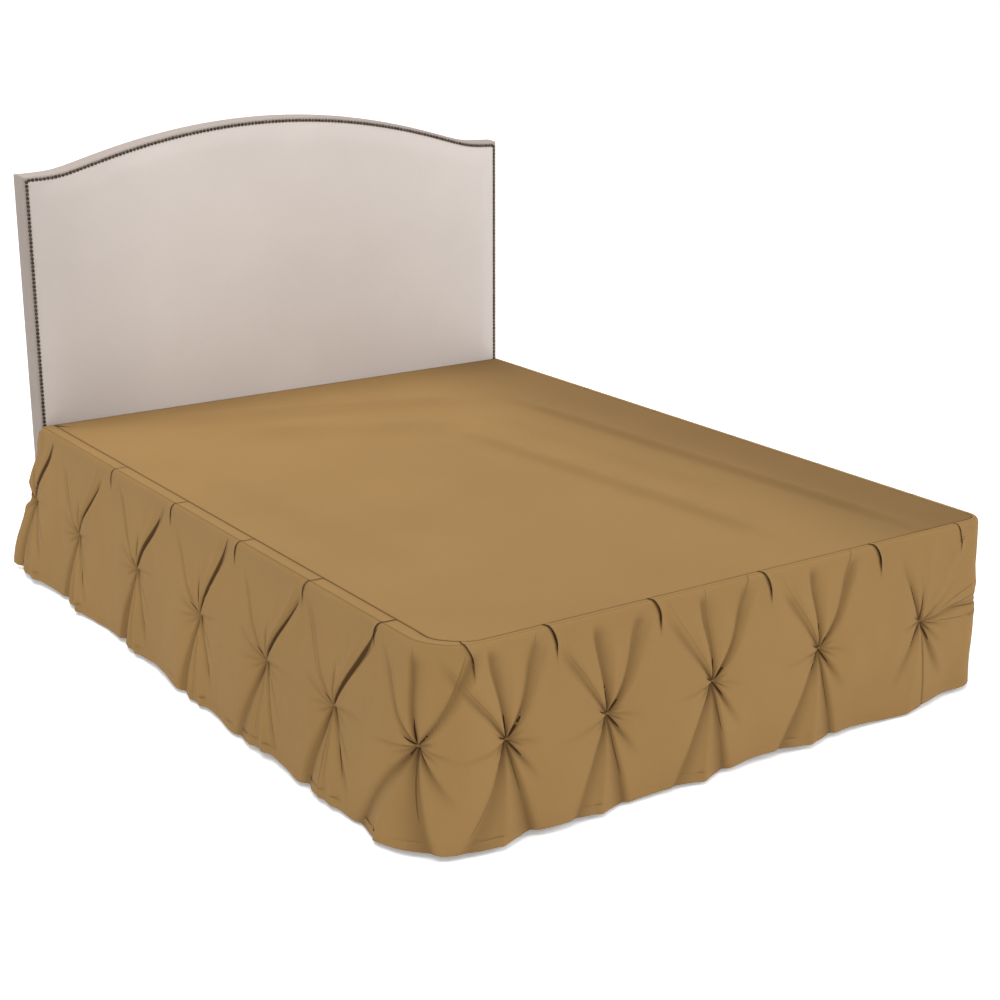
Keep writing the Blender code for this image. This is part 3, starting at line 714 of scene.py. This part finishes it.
def makePlatform():
    seamAlong = np.linspace(0, edgeRun, 3000)
    x, y, outX, outY = edgeAt(seamAlong)
    inward = bed["sideGap"] - bed["bend"] - lookup(hang["band"], seamAlong) - 0.0004
    seam = np.stack([x + outX * inward, y + outY * inward], axis=1)
    width, length = 2 * bed["half"], bed["headY"] - bed["footY"]
    bm = bmesh.new()
    cells = round(width / platform["cell"]), round(length / platform["cell"])
    bmesh.ops.create_grid(bm, x_segments=cells[0], y_segments=cells[1], size=0.5)
    place = np.array([v.co[:2] for v in bm.verts])
    px, py = place[:, 0] * width, place[:, 1] * length + (bed["footY"] + bed["headY"]) / 2
    for sign, radius in ((-1, bed["leftCorner"]), (1, bed["rightCorner"])):
        cx, cy = sign * (bed["half"] - radius), bed["footY"] + radius
        dx, dy = px - cx, py - cy
        inside = (dx * sign > 0) & (dy < 0)
        square = np.maximum(np.abs(dx), np.abs(dy)) / np.maximum(np.hypot(dx, dy), 1e-9)
        px = np.where(inside, cx + dx * square, px)
        py = np.where(inside, cy + dy * square, py)
    tree = kdtree.KDTree(len(seam))
    for i, (sx, sy) in enumerate(seam):
        tree.insert((sx, sy, 0), i)
    tree.balance()
    rim = [v.index for v in bm.verts if v.is_boundary]
    moves, rimTree = {}, kdtree.KDTree(len(rim))
    for i in rim:
        if py[i] > bed["headY"] - 0.0005:
            moves[i] = Vector((0, 0, 0))
        else:
            moves[i] = tree.find((px[i], py[i], 0))[0] - Vector((px[i], py[i], 0))
        rimTree.insert((px[i], py[i], 0), i)
    rimTree.balance()
    for v in bm.verts:
        i = v.index
        _, nearest, distance = rimTree.find((px[i], py[i], 0))
        v.co = Vector((px[i], py[i], 0)) + moves[nearest] * math.exp(-distance / platform["follow"])
    limit = bed["half"] + bed["sideGap"] - bed["bend"]
    for v in bm.verts:
        v.co.x = min(max(v.co.x, -limit + platform["inside"][0]), limit - platform["inside"][1])
        v.co.y = min(v.co.y, bed["headY"] + platform["headOver"])
    xs, ys = np.array([v.co.x for v in bm.verts]), np.array([v.co.y for v in bm.verts])
    for v, rise in zip(bm.verts, creaseHeight(xs, ys)):
        v.co.z = bed["clothZ"] + rise
    edges = [e for e in bm.edges if e.is_boundary]
    lip = bmesh.ops.extrude_edge_only(bm, edges=edges)
    for v in lip["geom"]:
        if isinstance(v, bmesh.types.BMVert):
            v.co.z -= platform["lip"]
    bmesh.ops.recalc_face_normals(bm, faces=bm.faces)
    if sum(f.normal.z for f in bm.faces) < 0:
        bmesh.ops.reverse_faces(bm, faces=bm.faces)
    piece = toPiece(bm, "platformSheet")
    places = np.array([v.co[:] for v in piece.data.vertices])
    # painted shade: darker towards the right, beside the creases, and on the lip turned down into the
    # seam
    deckShade = platform["rightShade"] * ease((places[:, 0] - platform["shadeFrom"]) / platform["shadeRun"])
    beside = creaseHeight(places[:, 0] + platform["shadeAside"], places[:, 1] + platform["shadeAside"])
    deckShade += platform["creaseShade"] * np.clip(beside / platform["fullCrease"], 0, 1)
    turned = np.clip((bed["clothZ"] - places[:, 2]) / platform["lip"], 0, 1)
    layCloth(piece, places[:, :2], np.maximum(deckShade, turned))
    return piece


# The headboard's cover: a boxed board with a raised middle, padded in front inside its line of nails.
board = {
    "width": 1.524,
    "front": 0.996,
    "bottom": 0.178,
    "shoulder": 1.110,
    "crown": 0.116,
    "crownHalf": 0.655,
    "blend": 0.075,
    "cells": (130, 84),
    "crowd": 1.6,           # its cells crowd towards the edges by this power
    "roll": 0.010,          # round of its front edge
    "nailLine": 0.011,      # nails sit this far in from the outline
    "dip": 0.0030,          # the cover is drawn in along them
    "dipWide": 0.005,
    "puff": 0.0050,         # the padding stands this far out of the nail line
    "puffRun": 0.055,
    "welt": 0.0012,         # and swells this much between them and its edge
    # behind its front: depth, and how far the outline stands out there
    "rings": ((0.022, 0.0010), (0.040, 0.0012), (0.058, 0.0), (0.068, -0.002), (0.075, -0.010)),
    "topFrom": 0.9,         # what is higher than this belongs to its top
    # painted shade, darker outside the nails as far back as edgeTo, towards the left, and along the nails
    "shades": {"edge": 0.56, "edgeTo": 0.070, "left": 0.20, "leftRun": 0.42, "nails": 0.35},
}
nails = {"size": 0.0104, "apart": 0.0108, "high": 0.40, "from": 0.330, "rings": 4, "sides": 8,
         "stray": 3e-4, "seed": 5}


def boardTop(x):
    arc = board["crown"] * (1 - (x / board["crownHalf"]) ** 2)
    blend = board["blend"] * board["crown"] * 2
    return board["shoulder"] + (arc + np.sqrt(arc * arc + blend * blend)) / 2


def makeBoardCover():
    half = board["width"] / 2
    nx, nz = board["cells"]
    bm = bmesh.new()
    bmesh.ops.create_grid(bm, x_segments=nx, y_segments=nz, size=0.5)
    cell = np.array([v.co[:2] for v in bm.verts]) * 2      # from -1 to 1, drawn towards the edges
    crowded = np.sign(cell) * (1 - (1 - np.abs(cell)) ** board["crowd"])
    across, upward = crowded[:, 0], 0.5 + 0.5 * crowded[:, 1]
    x = across * half
    z = board["bottom"] + (boardTop(x) - board["bottom"]) * upward
    xs = np.linspace(-half, half, 400)
    slope = np.gradient(boardTop(xs), xs[1] - xs[0])
    lean = np.cos(np.arctan(np.interp(x, xs, slope)))
    inward = np.minimum(half - np.abs(x), (boardTop(x) - z) * lean)
    y = np.full_like(x, board["front"])
    roll = board["roll"]
    away = np.clip(1 - inward / roll, 0, 1)
    y += roll * (1 - np.sqrt(1 - away ** 2))
    y += board["dip"] * np.exp(-((inward - board["nailLine"]) / board["dipWide"]) ** 2)
    y -= board["puff"] * ease((inward - board["nailLine"]) / board["puffRun"])
    y += board["welt"] * np.exp(-((inward - 0.004) / 0.004) ** 2)
    for v, place in zip(bm.verts, np.stack([x, y, z], axis=1)):
        v.co = place
    rim = [e for e in bm.edges if e.is_boundary]
    for depth, grow in board["rings"]:
        wider = bmesh.ops.extrude_edge_only(bm, edges=rim)
        rim = [g for g in wider["geom"] if isinstance(g, bmesh.types.BMEdge)]
        for v in [g for g in wider["geom"] if isinstance(g, bmesh.types.BMVert)]:
            v.co.y = board["front"] + depth
            v.co.x *= 1 + grow / half
            if v.co.z > board["topFrom"]:
                v.co.z += grow
    filled = bmesh.ops.contextual_create(bm, geom=rim)
    bmesh.ops.triangulate(bm, faces=filled["faces"])
    bmesh.ops.recalc_face_normals(bm, faces=bm.faces)
    piece = toPiece(bm, "headboardCover")
    places = np.array([v.co[:] for v in piece.data.vertices])
    inset = np.minimum(half - np.abs(places[:, 0]), boardTop(places[:, 0]) - places[:, 2])
    front = places[:, 1] < board["front"] + 0.012
    places[:, 0] += np.sign(places[:, 0]) * np.maximum(places[:, 1] - board["front"], 0)
    # painted shade outside the nails, towards the left and along the nails
    shades = board["shades"]
    edge = shades["edge"] * ease((board["nailLine"] + 0.004 - inset) / 0.006)
    edge *= places[:, 1] < board["front"] + shades["edgeTo"]
    left = shades["left"] * (1 - ease((places[:, 0] + half) / shades["leftRun"])) * front
    dip = shades["nails"] * np.exp(-((inset - board["nailLine"]) / board["dipWide"]) ** 2) * front
    layCloth(piece, places[:, [0, 2]], np.maximum(np.maximum(edge, left), dip))
    for face in piece.data.polygons:
        if face.normal.y > 0.999:
            face.use_smooth = False     # the flat back
    return piece


def makeNails():
    half = board["width"] / 2 - board["nailLine"]
    xs = np.linspace(-half, half, 600)
    line = [(-half, z) for z in np.linspace(nails["from"], boardTop(-half) - board["nailLine"], 200)]
    line += [(x, boardTop(x) - board["nailLine"]) for x in xs[1:]]
    line += [(half, z) for z in np.linspace(boardTop(half) - board["nailLine"], nails["from"], 200)[1:]]
    line = np.array(line)
    run = np.concatenate([[0], np.cumsum(np.hypot(*np.diff(line, axis=0).T))])
    count = round(run[-1] / nails["apart"])
    draw, stray = random.Random(nails["seed"]), nails["stray"]
    bm = bmesh.new()
    for step in range(count + 1):
        at = run[-1] * step / count
        x, z = np.interp(at, run, line[:, 0]), np.interp(at, run, line[:, 1])
        made = bmesh.ops.create_uvsphere(bm, u_segments=nails["sides"], v_segments=nails["rings"] * 2,
                                         radius=nails["size"] / 2)
        for v in made["verts"]:
            flat = -max(0.0, v.co.z) * nails["high"] * 2
            v.co = Vector((v.co.x, flat + (0.0006 if v.co.z < 0 else 0), v.co.y))
            v.co += Vector((x + draw.uniform(-stray, stray), board["front"] + board["dip"],
                            z + draw.uniform(-stray, stray)))
    bmesh.ops.remove_doubles(bm, verts=bm.verts, dist=1e-5)
    bmesh.ops.recalc_face_normals(bm, faces=bm.faces)
    return toPiece(bm, "nailHeads")


# Finishes: linear colours.
finishes = {
    "cloth": (0.274, 0.162, 0.0590),
    "upholstery": (0.662, 0.605, 0.571),
    "ticking": (0.62, 0.60, 0.56),
    "wood": (0.160, 0.088, 0.045),
    "bronze": (0.075, 0.053, 0.035),
    "bracket": (0.045, 0.045, 0.048),
    # what a cloth is multiplied by where shade is painted into it and on its hem stitches, and its sheen
    "paintedShade": (0.11, 0.060, 0.025),
    "stitches": (0.93, 0.915, 0.89),
    "sheen": (1.0, 0.80, 0.52),
}
stitches = {"fromHem": 0.018, "apart": 0.0032, "long": 0.78, "halfWide": 0.0007}


def feed(tree, node, inputs):
    # each named socket gets a value, or a link where another socket is given
    for name, value in inputs.items():
        if isinstance(value, bpy.types.NodeSocket):
            tree.links.new(value, node.inputs[name])
        else:
            node.inputs[name].default_value = value
    return node


def addNode(tree, kind, inputs=None, **settings):
    node = tree.nodes.new(kind)
    for name, value in settings.items():
        setattr(node, name, value)
    return feed(tree, node, inputs or {})


def addMath(tree, operation, *values):
    return addNode(tree, "ShaderNodeMath", dict(enumerate(values)), operation=operation).outputs[0]


def addNoise(tree, place, scale, detail, stretch=None, distortion=0.0):
    if stretch:
        place = addNode(tree, "ShaderNodeMapping", {"Vector": place, "Scale": stretch}).outputs["Vector"]
    inputs = {"Vector": place, "Scale": scale, "Detail": detail, "Distortion": distortion}
    return addNode(tree, "ShaderNodeTexNoise", inputs).outputs["Fac"]


def startGroup(name, vector, values, outputs):
    # a shader group that takes one vector and some values and gives values, and its two ends
    group = bpy.data.node_groups.new(name, "ShaderNodeTree")
    sockets = [(vector, "INPUT", "NodeSocketVector")]
    sockets += [(value, "INPUT", "NodeSocketFloat") for value in values]
    sockets += [(output, "OUTPUT", "NodeSocketFloat") for output in outputs]
    for socket, way, kind in sockets:
        group.interface.new_socket(socket, in_out=way, socket_type=kind)
    return group, addNode(group, "NodeGroupInput").outputs, addNode(group, "NodeGroupOutput")


def weaveGroup():
    # woven threads on a UV map in metres: height of the threads, and a slow and a fine change of shade
    group, given, outside = startGroup("wovenThreads", "Map", ("Threads", "Slub"), ("Height", "Shade"))
    inputs = {"Vector": given["Map"], "Scale": given["Threads"], "Distortion": 1.2, "Detail": 1.0}
    waves = [addNode(group, "ShaderNodeTexWave", inputs, bands_direction=axis).outputs["Fac"]
             for axis in ("X", "Y")]
    slubs = [addNoise(group, given["Map"], 1.0, 3.0, stretch) for stretch in ((40, 420, 1), (420, 40, 1))]
    shade = addMath(group, "MULTIPLY", addMath(group, "ADD", *slubs), 0.5)
    height = addMath(group, "MULTIPLY_ADD", shade, given["Slub"], addMath(group, "MULTIPLY", *waves))
    feed(group, outside, {"Height": height, "Shade": shade})
    return group


def stitchGroup():
    # a row of stitches at one height of a UV map in metres
    group, given, outside = startGroup("stitchRow", "Map", ("Height", "Stitch"), ("Mask",))
    parts = addNode(group, "ShaderNodeSeparateXYZ", {"Vector": given["Map"]}).outputs
    away = addMath(group, "ABSOLUTE", addMath(group, "SUBTRACT", parts["Y"], given["Height"]))
    line = addMath(group, "LESS_THAN", away, stitches["halfWide"])
    turns = addMath(group, "FRACT", addMath(group, "DIVIDE", parts["X"], given["Stitch"]))
    dash = addMath(group, "LESS_THAN", turns, stitches["long"])
    feed(group, outside, {"Mask": addMath(group, "MULTIPLY", line, dash)})
    return group


def lineGroup():
    # a painted shade line that swells in the middle and ends in points, from the places that layLines
    # gives
    group, given, outside = startGroup("darkLine", "Line", (), ("Mask",))
    parts = addNode(group, "ShaderNodeSeparateXYZ", {"Vector": given["Line"]}).outputs
    rest = addMath(group, "SUBTRACT", 1.0, parts["X"])
    arch = addMath(group, "MAXIMUM", addMath(group, "MULTIPLY", parts["X"], rest), 0.0)
    swell = addMath(group, "POWER", addMath(group, "MULTIPLY", arch, 4.0), 0.6)
    share = addMath(group, "DIVIDE", addMath(group, "ABSOLUTE", parts["Y"]),
                    addMath(group, "MAXIMUM", swell, 0.001))
    edge = addNode(group, "ShaderNodeMapRange", {"Value": share, "From Min": 1.25, "From Max": 0.55},
                   interpolation_type="SMOOTHSTEP")
    feed(group, outside, {"Mask": addMath(group, "MULTIPLY", edge.outputs["Result"], parts["Z"])})
    return group


def grainGroup():
    # long wood grain along the vector's Y axis
    group, given, outside = startGroup("woodGrain", "Map", (), ("Shade",))
    shades = [addNoise(group, given["Map"], 1.0, detail, stretch, 0.6)
              for stretch, detail in (((14, 1.2, 14), 5.0), ((160, 6, 160), 3.0))]
    feed(group, outside, {"Shade": addMath(group, "MULTIPLY", addMath(group, "ADD", *shades), 0.5)})
    return group


weave = weaveGroup()
stitchRow = stitchGroup()
woodGrain = grainGroup()
darkLine = lineGroup()


def startFinish(name):
    made = bpy.data.materials.new(name)
    made.use_nodes = True
    return made, made.node_tree, made.node_tree.nodes["Principled BSDF"]


def objectPlace(tree):
    return addNode(tree, "ShaderNodeTexCoord").outputs["Object"]


def shadeOf(tree, value, low, high, colour, contrast):
    # a colour that swings darker and lighter with a value
    ramp = addNode(tree, "ShaderNodeMapRange", {"Value": value, "From Min": low, "From Max": high})
    darker, lighter = [c * (1 - contrast) for c in colour], [c * (1 + contrast) for c in colour]
    inputs = {"A": darker + [1], "B": lighter + [1], "Factor": ramp.outputs["Result"]}
    return addNode(tree, "ShaderNodeMix", inputs, data_type="RGBA").outputs["Result"]


def tinted(tree, colour, mask, by):
    # a colour multiplied by another where the mask says
    inputs = {"A": colour, "B": (*by, 1), "Factor": mask}
    mix = addNode(tree, "ShaderNodeMix", inputs, data_type="RGBA", blend_type="MULTIPLY")
    return mix.outputs["Result"]


def roughnessOf(tree, value, rough, swing):
    inputs = {"Value": value, "To Min": rough - swing, "To Max": rough + swing}
    return addNode(tree, "ShaderNodeMapRange", inputs).outputs["Result"]


def bumpOf(tree, height, strength, distance):
    inputs = {"Height": height, "Strength": strength, "Distance": distance}
    return addNode(tree, "ShaderNodeBump", inputs).outputs["Normal"]


def clothFinish(name, colour, threads, slub, depth, contrast, rough, sheen, mapName="cloth",
                stitched=False):
    made, tree, shader = startFinish(name)
    place = objectPlace(tree)
    if mapName:
        flat = addNode(tree, "ShaderNodeUVMap", uv_map=mapName).outputs["UV"]
    else:
        parts = addNode(tree, "ShaderNodeSeparateXYZ", {"Vector": place}).outputs
        inputs = {"X": addMath(tree, "ADD", parts["X"], parts["Y"]), "Y": parts["Z"]}
        flat = addNode(tree, "ShaderNodeCombineXYZ", inputs).outputs["Vector"]
    inputs = {"Map": flat, "Threads": threads, "Slub": slub}
    woven = addNode(tree, "ShaderNodeGroup", inputs, node_tree=weave).outputs
    both = addMath(tree, "ADD", addMath(tree, "MULTIPLY", woven["Shade"], 0.6),
                   addNoise(tree, place, 3.2, 4.0))
    # painted shade: the colour is darkened by the painted shade attribute and the painted shade lines
    paintedShade = addNode(tree, "ShaderNodeAttribute", attribute_name="paintedShade").outputs["Fac"]
    lines = addNode(tree, "ShaderNodeAttribute", attribute_name="lines").outputs["Vector"]
    drawn = addNode(tree, "ShaderNodeGroup", {"Line": lines}, node_tree=darkLine).outputs["Mask"]
    deep = addMath(tree, "MAXIMUM", paintedShade, drawn)
    shade = tinted(tree, shadeOf(tree, both, 0.5, 1.1, colour, contrast), deep, finishes["paintedShade"])
    height = woven["Height"]
    if stitched:
        fromHem = addNode(tree, "ShaderNodeUVMap", uv_map="fromHem").outputs["UV"]
        inputs = {"Map": fromHem, "Height": stitches["fromHem"], "Stitch": stitches["apart"]}
        row = addNode(tree, "ShaderNodeGroup", inputs, node_tree=stitchRow).outputs["Mask"]
        shade = tinted(tree, shade, row, finishes["stitches"])
        height = addMath(tree, "SUBTRACT", height, row)
    feed(tree, shader, {
        "Base Color": shade,
        "Roughness": roughnessOf(tree, woven["Shade"], rough, 0.06),
        "Normal": bumpOf(tree, height, depth, 0.0006),
        "Sheen Weight": sheen,
        "Sheen Roughness": 0.5,
        "Sheen Tint": (*finishes["sheen"], 1),
        "Specular IOR Level": 0.1,
    })
    return made


def woodFinish(name, colour, across):
    made, tree, shader = startFinish(name)
    lie = addNode(tree, "ShaderNodeMapping", {"Vector": objectPlace(tree), "Rotation": across})
    grain = addNode(tree, "ShaderNodeGroup", {"Map": lie.outputs["Vector"]}, node_tree=woodGrain)
    shade = grain.outputs["Shade"]
    feed(tree, shader, {"Base Color": shadeOf(tree, shade, 0.35, 0.65, colour, 0.32), "Roughness": 0.52,
                        "Normal": bumpOf(tree, shade, 0.2, 0.0008)})
    return made


def metalFinish(name, colour, contrast, scale, rough, metallic):
    made, tree, shader = startFinish(name)
    spots = addNoise(tree, objectPlace(tree), scale, 4.0)
    feed(tree, shader, {"Base Color": shadeOf(tree, spots, 0.35, 0.65, colour, contrast),
                        "Roughness": roughnessOf(tree, spots, rough, 0.1), "Metallic": metallic,
                        "Normal": bumpOf(tree, spots, 0.15, 0.0004)})
    return made


# threads a metre, slubs, depth of the weave, contrast, roughness, sheen
microfibre = (620, 0.8, 0.22, 0.05, 0.80, 0.02)
skirtCloth = clothFinish("skirtCloth", finishes["cloth"], *microfibre, stitched=True)
sheetCloth = clothFinish("deckCloth", finishes["cloth"], *microfibre)
boardCloth = clothFinish("boardLinen", finishes["upholstery"], 420, 1.2, 0.40, 0.04, 0.85, 0.03)
ticking = clothFinish("baseTicking", finishes["ticking"], 300, 1.0, 0.4, 0.08, 0.85, 0.0, mapName="")
# contrast, size of the spots, roughness, metallic
nailMetal = metalFinish("nailBronze", finishes["bronze"], 0.55, 160, 0.26, 0.85)
bracketSteel = metalFinish("bracketSteel", finishes["bracket"], 0.25, 60, 0.55, 0.6)
# wood turned so that its grain runs along the piece
railWood = woodFinish("railWood", finishes["wood"], (0, 0, 0))
crossWood = woodFinish("crossWood", finishes["wood"], (0, 0, math.pi / 2))
legWood = woodFinish("legWood", finishes["wood"], (math.pi / 2, 0, 0))
nodeFinishes = (
    # start of a CAD node's name, its finish
    ("box", ticking), ("rail_foot", crossWood), ("rail_head", crossWood), ("rail", railWood),
    ("leg", legWood), ("headboard_leg", legWood), ("bracket", bracketSteel),
)
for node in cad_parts:
    finish = next((finish for start, finish in nodeFinishes if node.startswith(start)), None)
    if finish:
        for place in bpy.data.objects[node].material_slots:
            place.material = finish
print("finishes", len(bpy.data.materials))

panels = (
    # piece, first pinch, last pinch, CAD node, flat width
    ("dropLeft", 0, 1, "drop_left", 0.40),
    ("dropFront", 1, 11, "drop_front", 3.35),
    ("dropRight", 11, 18, "drop_right", 2.50),
)
for name, first, last, node, wide in panels:
    piece = dress(dropPanel(name, first, last), skirtCloth, "skirt_cloth", node)
    print(name, len(piece.data.polygons))
platformPiece = dress(makePlatform(), sheetCloth, "skirt_cloth", "deck")
print("platform", len(platformPiece.data.polygons))
cover = dress(makeBoardCover(), boardCloth, "headboard_cloth", "headboard")
print("headboard", len(cover.data.polygons))
nailPiece = dress(makeNails(), nailMetal, "bracket_metal")
print("nails", len(nailPiece.data.polygons))

# Camera, floor and light.
view = {"azimuth": -34.256, "elevation": 17.129, "distance": 4.877, "target": (0.119, 0.035, 0.306),
        "lens": 66.72}
studio = {"floor": 0.95, "floorGlow": 0.25, "floorRoughness": 0.9, "aim": (0, 0, 0.3), "light": 0.45,
          "backdrop": 1.0}
lights = (
    # name, kind, place, size in metres or degrees, power
    ("sky", "SUN", (-0.6, -0.1, 5.0), 60, 1.80),
    ("right", "SUN", (4.6, -2.5, 3.0), 16, 1.05),
    ("front", "SUN", (-2.0, -6.0, 3.6), 26, 0.52),
    ("left", "SUN", (-5.0, -1.2, 2.6), 30, 0.20),
    ("overhead", "AREA", (-0.9, 1.25, 2.9), 0.4, 19),
)
camera = toScene("camera", bpy.data.cameras.new("camera"))
turn, rise = math.radians(view["azimuth"]), math.radians(view["elevation"])
away = Vector((math.sin(turn) * math.cos(rise), -math.cos(turn) * math.cos(rise), math.sin(rise)))
camera.location = Vector(view["target"]) + view["distance"] * away
camera.rotation_euler = away.to_track_quat("Z", "Y").to_euler()
camera.data.lens = view["lens"]
bpy.context.scene.camera = camera

bm = bmesh.new()
bmesh.ops.create_grid(bm, x_segments=1, y_segments=1, size=30)
floor = toPiece(bm, "floor")
floorPaint, tree, shader = startFinish("floorPaint")
feed(tree, shader, {"Base Color": (*[studio["floor"]] * 3, 1), "Roughness": studio["floorRoughness"],
                    "Emission Color": (1, 1, 1, 1), "Emission Strength": studio["floorGlow"]})
floor.data.materials.append(floorPaint)

for name, kind, place, size, power in lights:
    lamp = toScene(name, bpy.data.lights.new(name, kind))
    if kind == "SUN":
        lamp.data.angle = math.radians(size)
    else:
        lamp.data.size = size
    lamp.data.energy = power
    lamp.location = place
    lamp.rotation_euler = (Vector(place) - Vector(studio["aim"])).to_track_quat("Z", "Y").to_euler()

world = bpy.data.worlds.new("studio")
bpy.context.scene.world = world
world.use_nodes = True
sky = world.node_tree
sky.nodes.clear()
glows = []
for part in ("light", "backdrop"):
    glow = addNode(sky, "ShaderNodeBackground", {"Color": (1, 1, 1, 1), "Strength": studio[part]})
    glows.append(glow.outputs["Background"])
shown = addNode(sky, "ShaderNodeLightPath").outputs["Is Camera Ray"]
blend = addNode(sky, "ShaderNodeMixShader", {"Fac": shown, 1: glows[0], 2: glows[1]})
addNode(sky, "ShaderNodeOutputWorld", {"Surface": blend.outputs["Shader"]})
print("lights", len(lights))
bpy.context.scene.view_settings.view_transform = "Standard"
